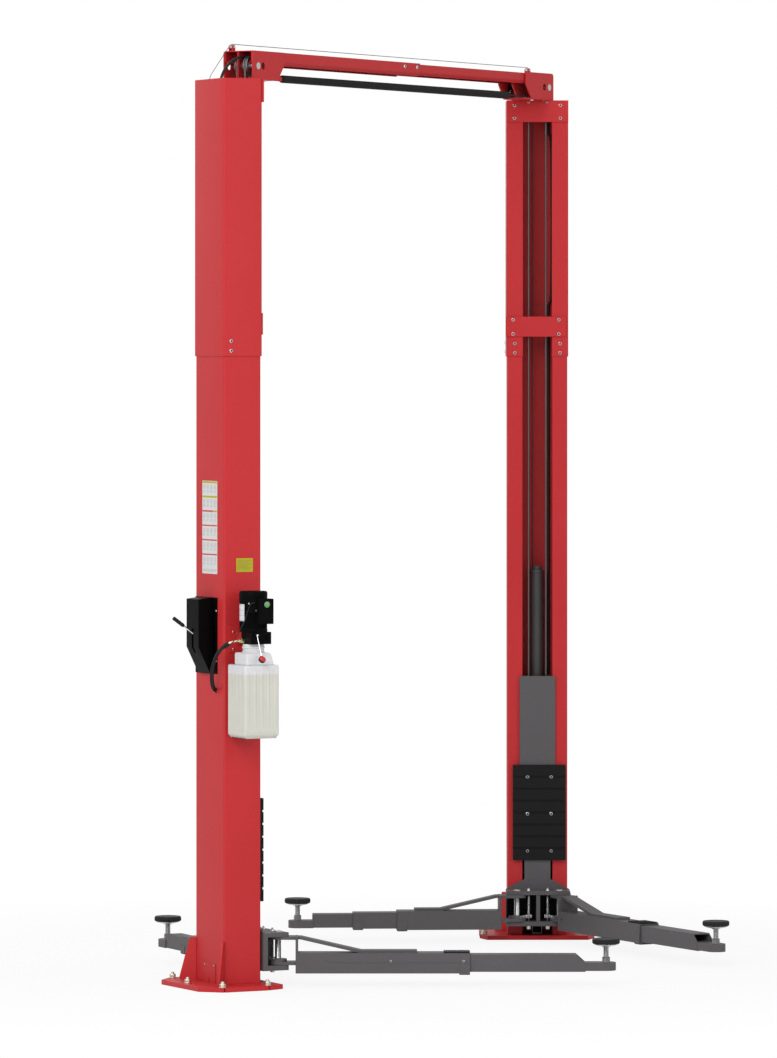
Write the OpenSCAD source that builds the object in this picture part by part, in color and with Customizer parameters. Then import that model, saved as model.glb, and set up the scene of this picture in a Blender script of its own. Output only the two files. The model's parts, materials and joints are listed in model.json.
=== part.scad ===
// Two post car lift with overhead crossbeam, turned posts and telescopic swing arms.
// Each post has its own frame: u points into the bay, v runs along the post's width.

/* [Posts] */
// Distance between the two post centres
post_spacing = 2640; // [2400:10:3000]
// Turn of each post towards the front of the bay, in degrees
post_turn = 31.5; // [25:0.5:35]
// Height of the posts
post_height = 3840; // [3600:10:4200]
// Width of the upper section
post_width = 283; // [270:1:300]
// Depth of the upper section
post_depth = 183; // [176:1:200]
// Sheet thickness of the upper section
upper_wall = 4; // [3:0.5:5]
// Sheet thickness of the lower section
lower_wall = 5; // [4:0.5:7]
// Height where the upper section starts
sleeve_low = 2667; // [2600:1:2800]
// Length of the lower section inside the upper one
sleeve_lap = 235; // [200:5:300]
// Gap between the two sections, each side
sleeve_gap = 0.25; // [0.2:0.05:0.5]
// Width of the slot in the upper section
upper_slot = 133; // [128:1:140]
// Width of the slot in the lower section
lower_slot = 137; // [132:1:140]
// Outer bend radius of the sections
bend_r = 9; // [7:1:12]

/* [Base plates] */
// Width of a base plate
base_width = 525; // [500:5:560]
// Reach of a base plate into the bay
base_front = 144; // [135:1:160]
// Reach of a base plate behind the post centre
base_back = 228; // [215:1:250]
// Thickness of a base plate
base_t = 20; // [16:1:25]
// Front chamfer along the depth
chamfer_front_u = 82; // [60:1:100]
// Front chamfer along the width
chamfer_front_v = 32; // [20:1:50]
// Back chamfer along the depth
chamfer_back_u = 80; // [60:1:90]
// Back chamfer along the width
chamfer_back_v = 83; // [60:1:95]
// Radius of the anchor holes
anchor_r = 9; // [8:0.5:11]
// Distance of the side anchors from the post's middle line
anchor_v = 243; // [235:1:245]
// Depth position of the front side anchors
anchor_front_u = 65; // [50:1:75]
// Depth position of the back side anchors
anchor_back_u = 145; // [130:1:150]
// Depth position of the single back anchor
anchor_rear_u = 190; // [180:1:200]
// Width of the slit from an anchor hole to the edge
slit_w = 6; // [4:1:8]
// Height of the corner gussets
gusset_h = 180; // [150:5:220]
// Length of a gusset at its foot
gusset_foot = 75; // [60:1:85]
// Length of a gusset at its top
gusset_top = 28; // [15:1:40]
// Thickness of a gusset
gusset_t = 10; // [8:1:12]

/* [Head] */
// Height of the front leg of the head plate
head_leg = 99; // [90:1:120]
// Thickness of the head plate
head_t = 8; // [6:1:10]
// Height of the tie plate between the lips
tie_h = 92; // [80:1:100]
// Width of the tie plate
tie_w = 277; // [260:1:280]
// Height of the tie plate's lower edge
tie_z = 2758; // [2740:1:2800]
// Thickness of the tie plate
tie_t = 8; // [6:1:10]
// Sideways shift of the tie plate
tie_shift = 7; // [0:1:10]
// Length of a head bracket along its top edge
bracket_len = 250; // [230:5:300]
// Length of a head bracket along its foot
bracket_foot = 200; // [190:5:220]
// Distance of a bracket's outer edge from the post centre
bracket_out = 30; // [20:1:40]
// Height of the bracket above the head plate
bracket_h = 122; // [110:1:130]
// Thickness of the bracket plates
bracket_t = 6; // [5:0.5:7]
// Front face of the bracket, towards the front of the bay
bracket_front = 105; // [100:1:110]
// Distance of the middle plate's face from the post centre
bracket_mid = 32; // [28:1:36]
// Back face of the bracket behind the post centre
bracket_back = 44; // [42:1:50]
// Thickness of the bracket's foot
foot_t = 8; // [6:1:10]
// Height of the crossbeam
beam_h = 56; // [50:1:60]
// Sheet thickness of the crossbeam
beam_t = 4; // [3:0.5:5]
// Reach of the left half past the middle of the bay
beam_past = 107; // [80:1:140]
// Overlap of the two halves
beam_lap = 260; // [200:10:320]

/* [Lock ladders] */
// Lower end of a ladder
ladder_low = 420; // [380:10:460]
// Upper end of a ladder
ladder_high = 2340; // [2200:10:2450]
// Outer edge of a ladder along the depth
ladder_u = 12; // [8:1:16]
// Width of a ladder
ladder_w = 50; // [46:1:54]
// Thickness of a ladder
ladder_t = 8; // [6:1:10]
// Distance from one slot of a ladder to the next
ladder_pitch = 90; // [80:5:110]
// Height of a slot
ladder_slot_h = 40; // [30:1:50]
// Width of a slot
ladder_slot_w = 26; // [20:1:30]

/* [Covers and notices] */
// Width of an access cover
cover_w = 114; // [105:1:125]
// Height of an access cover
cover_h = 81; // [75:1:90]
// Thickness of an access cover
cover_t = 2; // [1.5:0.5:3]
// Width of the notch at a cover's foot
notch_w = 14; // [10:1:18]
// Height of the notch
notch_h = 16; // [12:1:20]
// Width of the white strip
strip_w = 143; // [130:1:150]
// Height of the white strip
strip_h = 393; // [370:1:410]
// Lower edge of the white strip
strip_low = 1747; // [1735:1:1760]
// Distance of the strip's middle line from the post's
strip_shift = 2.5; // [-5:0.5:10]
// Thickness of the notices
notice_t = 1.5; // [1:0.5:2]
// Width of the yellow plate
plate_w = 78; // [70:1:85]
// Height of the yellow plate
plate_h = 58; // [50:1:65]
// Lower edge of the yellow plate
plate_low = 1757; // [1745:1:1770]
// Depth position of the yellow plate's middle
plate_u = 9; // [0:1:15]

/* [Limit switch] */
// Distance of the limit switch from the right post centre
limit_out = 170; // [150:1:190]
// Width of the limit switch
limit_w = 30; // [24:1:36]
// Depth of the limit switch
limit_d = 26; // [20:1:32]
// Height of the limit switch
limit_h = 30; // [24:1:36]
// Height of the limit switch above the head plate
limit_rise = 40; // [36:1:44]

/* [Sheaves and cables] */
// Diameter of the equalizing cables
cable_d = 9; // [7:0.5:10]
// Distance of each cable from the post's middle line
cable_v = 40; // [36:1:44]
// Depth position of the cables in the post
cable_u = 60; // [56:1:62]
// Radius of the sheaves at the cable's middle line
sheave_r = 40; // [34:1:42]
// Width of a sheave
sheave_w = 20; // [16:1:24]
// Radius of the sheave pins
sheave_pin_r = 15; // [12:0.5:16]
// Radial running clearance of every hinge pin
pin_gap = 0.1; // [0.05:0.01:0.1]
// Height of the sheave pins above the head plate
sheave_rise = 58; // [54:1:62]
// Depth of a sheave's rim outside the cable's middle line
sheave_rim = 4; // [3:0.5:5]
// Clearance around the sheaves and pins where they pass through plates
sheave_gap = 5; // [3:0.5:8]

/* [Limit bar] */
// Radius of the padded limit bar
bar_r = 16.5; // [14:0.5:20]
// Left end of the bar from the left post centre
bar_left = 282; // [275:1:340]
// Length of the bare rod between the padded bar and the right bracket's foot
bar_bare = 193; // [160:1:240]
// Height of the bar's middle line above the head plate
bar_rise = 10; // [8:0.5:12]
// Depth position of the bar, in front of the post centre
bar_y = 90; // [84:1:94]

/* [Carriage] */
// Width of the carriage body in the slot
carriage_w = 119; // [110:1:124]
// Plate thickness of the carriage
carriage_t = 8; // [6:1:10]
// Lower end of the carriage body
carriage_low = 229; // [225:1:240]
// Upper end of the carriage body
carriage_high = 1204; // [1150:1:1300]
// Width of the front plate outside the slot
apron_w = 163; // [155:1:175]
// Running gap between the front plate and the post
apron_gap = 2.5; // [2:0.5:8]
// Thickness of the front plate
apron_t = 5; // [4:1:8]
// Height where the front plate starts
apron_low = 362; // [350:1:380]
// Running gap between a slider block and the post's wall
slider_gap = 0.9; // [0.5:0.1:2]
// Height of a slider block
slider_h = 150; // [100:5:200]

/* [Door guards] */
// Width of the rubber door guard
guard_w = 242; // [220:1:260]
// Height of the rubber door guard
guard_h = 436; // [400:1:460]
// Thickness of the rubber
guard_t = 12; // [10:1:16]
// Sideways shift of the guard on its plate
guard_shift = 8; // [0:1:10]
// Number of grooves across the rubber
guard_grooves = 7; // [5:1:9]
// Height of each groove
groove_h = 9; // [6:1:12]
// Depth of each groove
groove_d = 5; // [3:1:8]

/* [Yoke] */
// Width of the yoke plates
yoke_w = 291; // [270:1:300]
// Front edge of the yoke plates
yoke_front = 214; // [205:1:220]
// Height of the top plate's upper face
yoke_top = 229; // [225:1:235]
// Thickness of the top plate
yoke_top_t = 18; // [16:1:20]
// Height of the bottom plate's lower face
yoke_low = 69; // [60:1:75]
// Thickness of the bottom plate
yoke_low_t = 21; // [18:1:22]
// Thickness of the rib between the pins
rib_t = 17; // [14:1:20]
// Depth position of the arm pins
pivot_u = 187.5; // [184:0.5:190]
// Distance of the arm pins from the middle line
pivot_v = 96; // [92:1:100]
// Radius of the arm pins
pivot_r = 12.5; // [11:0.5:14]
// Radius of the arm locking rods
rod_r = 4.5; // [4:0.5:6]
// Distance of the locking rods from the middle line
rod_v = 43; // [42:1:44]
// Radius of the toothed block on a locking rod
lock_r = 13; // [10:1:13]

/* [Cylinders] */
// Outer radius of the cylinder
cyl_r = 30; // [28:1:32]
// Top of the cylinder
cyl_top = 1707; // [1700:1:1740]
// Radius of the piston rod
rod_bar_r = 19; // [16:1:20]
// Bottom of the cylinder at rest
cyl_low = 110; // [100:5:140]
// Wall of the cylinder
cyl_wall = 6; // [5:0.5:7]
// Radius of the cylinder's collar
cyl_collar_r = 34; // [32:0.5:36]
// Height of the cylinder's collar
cyl_collar_h = 11; // [9:1:13]
// Radius of the cylinder's cap
cyl_cap_r = 23.5; // [22:0.5:25]
// Height of the cap above the collar
cyl_cap_h = 19; // [16:1:22]
// Length of the gland at the cylinder's foot
gland_h = 40; // [30:1:50]
// Depth of the closed end over the oil space
cyl_head_h = 35; // [30:1:40]
// Distance from the piston rod's top to the cylinder's top at rest
rod_short = 75; // [60:1:90]
// Width of the piston rod's foot block
rod_foot_w = 44; // [40:1:48]
// Height of the piston rod's foot block
rod_foot_h = 60; // [50:1:70]

/* [Arms] */
// Direction of the long arms in the post frame, in degrees
long_angle = 27.5; // [20:0.5:35]
// Direction of the short arms in the post frame, in degrees
short_angle = -87; // [-90:0.5:-80]
// Width of the outer arm tube
arm_w = 100; // [95:1:104]
// Height of the outer arm tube
arm_h = 86; // [84:1:90]
// Lower face of the outer arm tube
arm_z = 56; // [52:1:60]
// Wall of the arm tubes
arm_wall = 6; // [5:0.5:7]
// Side and top clearance between telescoping tubes
slide_gap = 1; // [0.8:0.1:1.5]
// Clearance under a resting tube
rest_gap = 0.3; // [0.2:0.1:0.4]
// Start of the outer tube from the pivot
arm_start = 75; // [72:1:80]
// End of the long arm's outer tube
long_outer = 813; // [780:1:840]
// Length of the long arm's inner tube inside the outer one
long_overlap = 320; // [300:10:330]
// Distance from the end of the long arm's inner tube to its screw
long_neck = 88; // [80:1:100]
// Screw of the long arm from the pivot
long_reach = 1390; // [1380:1:1400]
// End of the short arm's outer tube
short_outer = 550; // [530:1:570]
// End of the short arm's middle tube
short_middle = 751; // [740:1:770]
// Distance from the end of the short arm's inner tube to its screw
short_neck = 69; // [60:1:90]
// Screw of the short arm from the pivot
short_reach = 1003; // [995:1:1010]
// Thickness of the arm root plates
root_t = 13; // [12:1:15]
// Radius of the arm root around its pin
root_r = 42; // [38:1:42]
// Radius of the toothed ring on the arm root
ring_r = 38; // [34:1:38]
// Thickness of the brace bar
brace_t = 11; // [8:1:12]
// Width of the brace bar
brace_w = 65; // [50:1:80]
// Where the brace meets the tube
brace_down = 353; // [340:1:370]
// End of the long arm's brace
long_brace = 589; // [560:1:620]
// End of the short arm's brace
short_brace = 470; // [450:1:500]
// Thickness of the tip block
tip_h = 34; // [30:1:38]
// Radius of the tip block's round end
tip_r = 42; // [38:1:43]

/* [Lifting pads] */
// Radius of the pad's screw
screw_r = 12; // [10:0.5:13]
// Height of the screw's collar on the tip block
collar_h = 22; // [18:1:26]
// Radius of the screw's collar
collar_r = 16.5; // [15:0.5:18]
// Radius of the rubber pad
pad_r = 59; // [55:1:62]
// Thickness of the rubber pad
pad_t = 22; // [18:1:26]
// Height of the pad's upper face
pad_top = 200; // [195:1:205]
// Height of the dish under the pad
dish_h = 13; // [10:1:16]

/* [Power unit] */
// Depth position of the motor's axis
unit_u = 2; // [-10:1:8]
// Distance of the motor's axis from the post centre
unit_v = 236; // [230:1:245]
// Radius of the motor
motor_r = 59.5; // [55:0.5:64]
// Top of the motor
motor_top = 1680; // [1660:1:1700]
// Length of the motor
motor_h = 171; // [160:1:180]
// Height of the pump block
pump_h = 51; // [45:1:56]
// Back face of the pump block from the post centre
pump_back = 200; // [185:1:210]
// Lower edge of the plate that holds the power unit
mount_low = 1420; // [1410:1:1430]
// Height of the plate that holds the power unit
mount_h = 110; // [100:1:120]
// Back edge of that plate along the depth
mount_back = -65; // [-70:1:-60]
// Width of that plate
mount_w = 125; // [115:1:130]
// Thickness of that plate
mount_t = 6; // [5:1:8]
// Width of the pump block
pump_w = 94; // [80:1:110]
// Gap between the switch box and the motor
seat_gap = 0.2; // [0.1:0.1:0.5]
// Width of the switch box
switch_w = 60; // [50:1:80]
// Depth of the switch box
switch_d = 40; // [30:1:50]
// Height of the switch box
switch_h = 106; // [90:1:110]
// Width of the oil tank along the depth
tank_u = 161; // [150:1:170]
// Width of the oil tank along the width
tank_v = 168; // [155:1:172]
// Height of the oil tank body
tank_h = 308; // [280:1:330]
// Height of the tank's shoulder
shoulder_h = 52; // [45:1:60]
// Step from the tank's back to its shoulder
shoulder_back = 48; // [40:1:56]
// Step from the tank's side to its shoulder
shoulder_in = 8.5; // [6:0.5:11]
// Height of the tank's neck
neck_h = 35; // [30:1:40]
// Radius of the tank's neck
neck_r = 48; // [40:1:50]

/* [Lowering valve and hose] */
// Length of the valve lever to the middle of its knob
valve_len = 111; // [100:1:120]
// Angle of the valve lever from straight down, in degrees
valve_hang = 26; // [20:1:35]
// Radius of the valve lever's rod
valve_rod_r = 2.5; // [2:0.5:3.5]
// Radius of the valve lever's knob
knob_r = 16; // [13:0.5:18]
// Radius of the pressure hose
pressure_r = 7.5; // [6:0.5:8]

/* [Lock release] */
// Width of the lock box
lock_w = 117; // [105:1:125]
// Reach of the lock box behind the post
lock_reach = 67; // [60:1:75]
// Top of the lock box
lock_top = 1648; // [1630:1:1660]
// Bottom of the lock box
lock_low = 1325; // [1310:1:1340]
// Height where the lock box starts to narrow
lock_bend = 1438; // [1425:1:1450]
// Middle of the lock box along the post's width
lock_v = -29; // [-34:1:-20]
// Width of the lock box's back flange
flange_w = 212; // [190:1:214]
// Lower end of the slot for the lever
slot_low = 1412; // [1400:1:1420]
// Upper end of the slot for the lever
slot_high = 1516; // [1505:1:1525]
// Width of the slot for the lever
lever_slot = 16; // [14:1:20]
// Radius of the lever rod
lever_r = 4; // [3:0.5:5]
// Length of the lever
lever_len = 160; // [140:1:180]
// Rise of the lever above level, in degrees
lever_rise = 35.5; // [30:0.1:38]

/* [Hidden] */
$fn = 48;
e = 1;

red = "firebrick";
grey = "dimgray";
black = "black";
zinc = "silver";

// The lower section fits inside the upper one
lower_width = post_width - 2 * (upper_wall + sleeve_gap);
lower_depth = post_depth - 2 * (upper_wall + sleeve_gap);
lower_top = sleeve_low + sleeve_lap;
upper_face = post_depth / 2;
lower_face = lower_depth / 2;
slider_v = lower_width / 2 - lower_wall - slider_gap;
head_top = post_height;
beam_top = head_top + bracket_h;
sheave_z = head_top + sheave_rise;
bar_z = head_top + bar_rise;
bar_len = post_spacing - bracket_out - bracket_foot - bar_bare - bar_left;

// Sheave places in the row's frame, for the left post
function bay_x(u, v) = u * cos(post_turn) - v * sin(post_turn);
function bay_y(u, v) = -u * sin(post_turn) - v * cos(post_turn);
front_cable = [bay_x(cable_u, cable_v), bay_y(cable_u, cable_v)];
back_cable = [bay_x(cable_u, -cable_v), bay_y(cable_u, -cable_v)];

// Arm heights
inner_h = arm_h - 2 * arm_wall - slide_gap - rest_gap;
inner_w = arm_w - 2 * arm_wall - 2 * slide_gap;
inner_z = arm_z + arm_wall + rest_gap;
last_h = inner_h - 2 * arm_wall + 2 - slide_gap - rest_gap;
last_w = inner_w - 2 * arm_wall + 2 - 2 * slide_gap;
last_z = inner_z + arm_wall - 1 + rest_gap;
tip_z = 66;
long_inner = long_reach - long_neck;
short_inner = short_reach - short_neck;
root_low = yoke_low + yoke_low_t + rest_gap;
root_high = yoke_top - yoke_top_t - rest_gap;

// Power unit heights
pump_top = motor_top - motor_h;
tank_neck_top = pump_top - pump_h;
tank_body_top = tank_neck_top - neck_h - shoulder_h;
tank_low = tank_body_top - tank_h;

// Release wire points, chosen by hand, from inside the left post over both pulleys into the right post
release_points = [[-38, 76, 1560], [-38, 76, 2600], [-38, 76, 3770], [-37, 75, 3830], [-28, 69, 3860],
    [34, 28, 3968], [42, 21, 3982], [48, 17, 3989], [56, 17, 3992], [70, 17, 3992], [1320, 17, 3992],
    [2570, 17, 3992], [2584, 17, 3992], [2592, 17, 3989], [2598, 21, 3982], [2606, 27, 3968],
    [2662, 50, 3860], [2690, 53, 3820], [2692, 53, 3770], [2692, 53, 2600], [2692, 53, 1560]];

// Hose points, chosen by hand, from inside the left post through the crossbeam to the right foot
top_hose_points = [[-91, -10, 1300], [-91, -10, 2500], [-91, -10, 3700], [-90, -11, 3790], [-82, -16, 3840],
    [-68, -24, 3876], [-45, -33, 3904], [-16, -41, 3923], [16, -44, 3932], [60, -44, 3934], [400, -44, 3934],
    [1320, -44, 3934], [2240, -44, 3934], [2580, -44, 3934], [2624, -44, 3932], [2656, -41, 3923],
    [2685, -33, 3904], [2708, -24, 3876], [2722, -16, 3840], [2730, -11, 3790], [2731, -10, 3700],
    [2731, -10, 2500], [2731, -10, 200], [2730, -10, 130], [2724, -8, 92], [2710, -5, 68], [2690, -2, 56],
    [2671, -1, 53]];

// Hose points, chosen by hand, in the left post's frame
pressure_points = [[-37, 226, 1471], [-61, 226, 1471], [-80, 225, 1470], [-100, 218, 1463], [-117, 204, 1450],
    [-128, 182, 1430], [-133, 155, 1403], [-133, 132, 1372], [-131, 116, 1343], [-127, 104, 1316],
    [-120, 94, 1292], [-110, 84, 1272], [-100, 75, 1263], [-93, 69, 1259]];

// Places children in the left post's frame
module at_left() { rotate([0, 0, -post_turn]) mirror([0, 1, 0]) children(); }
// Places children in the right post's frame
module at_right() { translate([post_spacing, 0, 0]) rotate([0, 0, 180 + post_turn]) children(); }
// Mirrors a left head part to the right post
module across() { translate([post_spacing, 0, 0]) mirror([1, 0, 0]) children(); }

module box(a, b) { translate(a) cube(b - a); }

module bent_rect(d, w, r) {
    square([d - 2 * r, w], center = true);
    square([d, w - 2 * r], center = true);
    for (i = [-1, 1], j = [-1, 1]) translate([i * (d / 2 - r), j * (w / 2 - r)]) circle(r);
}

module channel(d, w, wall, slot, low, high) {
    translate([0, 0, low]) linear_extrude(high - low) difference() {
        bent_rect(d, w, bend_r);
        bent_rect(d - 2 * wall, w - 2 * wall, bend_r - wall);
        translate([d / 2 - wall - e, -slot / 2]) square([wall + 2 * e, slot]);
    }
}

module base_plate() {
    hw = base_width / 2;
    difference() {
        linear_extrude(base_t) polygon([
            [base_front, chamfer_front_v - hw], [base_front, hw - chamfer_front_v],
            [base_front - chamfer_front_u, hw], [chamfer_back_u - base_back, hw],
            [-base_back, hw - chamfer_back_v], [-base_back, chamfer_back_v - hw],
            [chamfer_back_u - base_back, -hw], [base_front - chamfer_front_u, -hw]]);
        for (j = [-1, 1], u = [anchor_front_u, -anchor_back_u]) {
            translate([u, j * anchor_v, -e]) cylinder(r = anchor_r, h = base_t + 2 * e);
            translate([u - slit_w / 2, j > 0 ? anchor_v : -hw - e, -e])
                cube([slit_w, hw + e - anchor_v, base_t + 2 * e]);
        }
        translate([-anchor_rear_u, 0, -e]) cylinder(r = anchor_r, h = base_t + 2 * e);
    }
    // Two gussets stand on the plate at the post's back corners
    corner = [lower_depth / 2 - bend_r, lower_width / 2 - bend_r];
    for (j = [-1, 1]) translate([-corner[0], j * corner[1], base_t - e / 2])
        rotate([0, 0, j * 135]) rotate([90, 0, 0]) translate([bend_r, 0, -gusset_t / 2])
            linear_extrude(gusset_t) polygon([[0, 0], [gusset_foot, 0], [gusset_foot, 12],
                [gusset_top, gusset_h], [0, gusset_h]]);
}

module lower_column() { channel(lower_depth, lower_width, lower_wall, lower_slot, base_t, lower_top); }
module upper_column() { channel(post_depth, post_width, upper_wall, upper_slot, sleeve_low, post_height); }

module tie_plate() {
    box([upper_face, -tie_w / 2 - tie_shift, tie_z], [upper_face + tie_t, tie_w / 2 - tie_shift, tie_z + tie_h]);
}

// A bent plate closes the post's front. Its upper leg lies inside the post, level with its top
module head_plate() {
    low = post_height - head_t;
    half = post_width / 2 - bend_r;
    tongue = upper_slot / 2 - sleeve_gap;
    difference() {
        union() {
            box([upper_face, -post_width / 2, post_height - head_leg], [upper_face + head_t, post_width / 2, post_height]);
            box([-25, -half, low], [upper_face - upper_wall - sleeve_gap, half, post_height]);
            box([upper_face - upper_wall - 2, -tongue, low], [upper_face + e, tongue, post_height]);
        }
        for (v = [-cable_v, cable_v]) translate([cable_u, v, low - e]) cylinder(r = cable_d, h = head_t + 2 * e);
    }
}

bracket_slant = beam_top - beam_h - head_top;
module bracket_plate(y) {
    translate([bracket_out, y, head_top]) rotate([90, 0, 0]) translate([0, 0, -bracket_t]) difference() {
        linear_extrude(bracket_t) polygon([[0, 0], [bracket_foot, 0], [bracket_len, bracket_slant],
            [bracket_len, bracket_h], [12, bracket_h], [3.5, bracket_h - 3.5], [0, bracket_h - 12]]);
        for (c = [front_cable, back_cable])
            translate([c[0] + sheave_r - bracket_out, sheave_z - head_top, -e])
                cylinder(r = sheave_pin_r + pin_gap, h = bracket_t + 2 * e);
    }
}

module head_bracket(drop) {
    bracket_plate(-bracket_front);
    difference() {
        bracket_plate(-bracket_mid);
        box([0, -bracket_mid - e, beam_top - beam_t - 0.3 - drop], [400, -bracket_mid + bracket_t + e, beam_top + e]);
    }
    bracket_plate(bracket_back - bracket_t);
    difference() {
        box([bracket_out, -bracket_front, head_top], [bracket_out + bracket_foot, bracket_back, head_top + foot_t]);
        // A window under each sheave lets its rim and its cable through
        for (c = [front_cable, back_cable])
            box([c[0] - cable_d, c[1] - sheave_w / 2 - sheave_gap, head_top - e],
                [c[0] + 1.7 * sheave_r, c[1] + sheave_w / 2 + sheave_gap, head_top + foot_t + e]);
    }
}

// The beam is an inverted channel with its lower edges turned in
module beam_profile(grow) {
    y0 = -bracket_front + bracket_t + 0.3 + grow;
    y1 = bracket_back - bracket_t - 0.3 - grow;
    t = beam_t;
    lip = 14;
    top = -grow;
    low = -beam_h + grow;
    polygon([[y0, top], [y1, top], [y1, low + lip], [y1 - lip, low], [y1 - lip - t, low],
        [y1 - t, low + lip], [y1 - t, top - t], [y0 + t, top - t], [y0 + t, low + lip],
        [y0 + lip + t, low], [y0 + lip, low], [y0, low + lip]]);
}
module beam(x0, x1, grow) {
    translate([x0, 0, beam_top]) rotate([90, 0, 90]) linear_extrude(x1 - x0) beam_profile(grow);
}
beam_middle = post_spacing / 2 + beam_past;
// The beam's lower edges are cut away round the sheave pins
module pin_cuts() {
    for (c = [front_cable, back_cable]) translate([c[0] + sheave_r, bracket_back, sheave_z]) rotate([90, 0, 0])
        cylinder(r = sheave_pin_r + pin_gap + 1, h = bracket_front + bracket_back);
}
module left_beam() {
    difference() {
        beam(bracket_out, beam_middle, 0);
        pin_cuts();
    }
}
module right_beam() {
    difference() {
        beam(beam_middle - beam_lap, post_spacing - bracket_out, beam_t + 0.3);
        across() pin_cuts();
    }
}

module sheave(c, y) {
    groove = cable_d / 2 + 0.3;
    translate([c[0] + sheave_r, y, sheave_z]) rotate([90, 0, 0]) difference() {
        translate([0, 0, -sheave_w / 2]) cylinder(r = sheave_r + sheave_rim, h = sheave_w);
        translate([0, 0, -sheave_w / 2 - e]) cylinder(r = sheave_pin_r + pin_gap, h = sheave_w + 2 * e);
        rotate_extrude() translate([sheave_r, 0]) circle(groove);
        rotate_extrude() translate([sheave_r, -groove]) square([2 * sheave_rim, 2 * groove]);
    }
}
module left_front() { sheave(front_cable, front_cable[1]); }
module left_back() { sheave(back_cable, back_cable[1]); }

// Headed pins run through each pair of plates
module head_pin(c, y0, y1) {
    translate([c[0] + sheave_r, y0, sheave_z]) rotate([-90, 0, 0]) cylinder(r = sheave_pin_r, h = y1 - y0);
}
module pins() {
    head_pin(front_cable, -bracket_front - 2, -bracket_mid + bracket_t + 2);
    head_pin(back_cable, -bracket_mid - 2, bracket_back + 2);
}

// Cables run up each post, over the sheaves and along the crossbeam
module cable_run(c) {
    far = post_spacing - c[0] - sheave_r;
    arc = function(x, a) [x + sheave_r * cos(a), c[1], sheave_z + sheave_r * sin(a)];
    sweep(concat([[c[0], c[1], cable_low]], [for (a = [180:-10:90]) arc(c[0] + sheave_r, a)],
        [for (a = [90:-10:0]) arc(far, a)], [[far + sheave_r, c[1], cable_low]]), cable_d / 2, 10);
}
cable_low = 320;

// Small pulleys on upright ears carry the lock release wire
ear_h = 26;
release_r = 11;
module release_ears(x, y) {
    for (s = [-1, 1]) translate([x, y + s * 8 + 2, beam_top]) rotate([90, 0, 0])
        linear_extrude(4) polygon([[-12, 0], [12, 0], [12, ear_h - 6], [7, ear_h], [-7, ear_h], [-12, ear_h - 6]]);
    translate([x, y + 10, beam_top + 17]) rotate([90, 0, 0]) cylinder(r = 3.5, h = 20);
    translate([x, y + 5.7, beam_top + 17]) rotate([90, 0, 0]) difference() {
        cylinder(r = release_r, h = 11.4);
        translate([0, 0, 5.7]) rotate_extrude() translate([release_r + 1, 0]) circle(2.5);
    }
}
release_x = bracket_out + 26;
release_y = 17;

// A slotted bar on the post's inner side holds the safety latch
module ladder() {
    wall = lower_width / 2 - lower_wall;
    middle = ladder_u + ladder_w / 2;
    difference() {
        box([ladder_u, wall - ladder_t, ladder_low], [ladder_u + ladder_w, wall, ladder_high]);
        for (z = [ladder_low + ladder_slot_h * 1.5:ladder_pitch:ladder_high - ladder_slot_h * 1.5])
            box([middle - ladder_slot_w / 2, wall - ladder_t - e, z],
                [middle + ladder_slot_w / 2, wall + e, z + ladder_slot_h]);
    }
}

module access_cover() {
    difference() {
        box([-lower_face - cover_t, -cover_w / 2, base_t], [-lower_face, cover_w / 2, base_t + cover_h]);
        box([-lower_face - cover_t - e, -notch_w / 2, base_t - e], [e - lower_face, notch_w / 2, base_t + notch_h]);
    }
}

module notice() {
    box([-lower_face - notice_t, strip_shift - strip_w / 2, strip_low],
        [-lower_face, strip_shift + strip_w / 2, strip_low + strip_h]);
    box([plate_u - plate_w / 2, lower_width / 2, plate_low],
        [plate_u + plate_w / 2, lower_width / 2 + notice_t, plate_low + plate_h]);
}

// The bar hangs on a cross pin at its left end, and its free end lies on a rest
bar_pin_x = bar_left - 16;
bar_end_r = 5;
module pivot_bar() {
    difference() {
        union() {
            translate([bar_left, -bar_y, bar_z]) rotate([0, 90, 0]) cylinder(r = bar_r, h = bar_len);
            translate([bar_pin_x - 8, -bar_y - 3, bar_z - 8]) cube([28, 6, 16]);
            translate([bar_left + bar_len - e, -bar_y, bar_z]) rotate([0, 90, 0])
                cylinder(r = bar_end_r, h = bar_bare - 10);
        }
        translate([bar_pin_x, -bar_y - 10, bar_z]) rotate([-90, 0, 0]) cylinder(r = 4 + pin_gap, h = 20);
    }
}
// A shelf under the right bracket's foot carries the bar's free end
module bar_rest() {
    x = post_spacing - bracket_out - bracket_foot;
    top = bar_z - bar_end_r - rest_gap;
    box([x - 70, -bracket_front, top - 5], [x + 20, -bar_y + 15, top]);
}
// Ears on the left bracket hold the pin
module bar_ears() {
    for (s = [-1, 1]) box([bracket_out + bracket_foot - e, -bar_y + s * 5.5 - 2, head_top],
        [bar_pin_x + 9, -bar_y + s * 5.5 + 2, bar_z + 8]);
    translate([bar_pin_x, -bar_y - 7, bar_z]) rotate([-90, 0, 0]) cylinder(r = 4, h = 14);
}

// Pivot of the lock lever, on a pin across the slot
lever_pin = [-lower_face - lock_reach + 40, lock_v, slot_low + 57];
pin_r = 3;
module lock_cover() {
    back = -lower_face;
    out = back - lock_reach;
    difference() {
        translate([0, lock_v - lock_w / 2, 0]) rotate([90, 0, 0]) translate([0, 0, -lock_w]) linear_extrude(lock_w)
            polygon([[back, lock_top], [out, lock_top - 8], [out, lock_bend], [back - 12, lock_low], [back, lock_low]]);
        box([out - e, lock_v - lever_slot / 2, slot_low], [lever_pin[0] + 16, lock_v + lever_slot / 2, slot_high]);
    }
    box([back - 2, lock_v - flange_w / 2, lock_low], [back, lock_v + flange_w / 2, lock_top]);
    translate([lever_pin[0], lock_v - lever_slot / 2 - e, lever_pin[2]]) rotate([-90, 0, 0])
        cylinder(r = pin_r, h = lever_slot + 2 * e);
}

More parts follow.
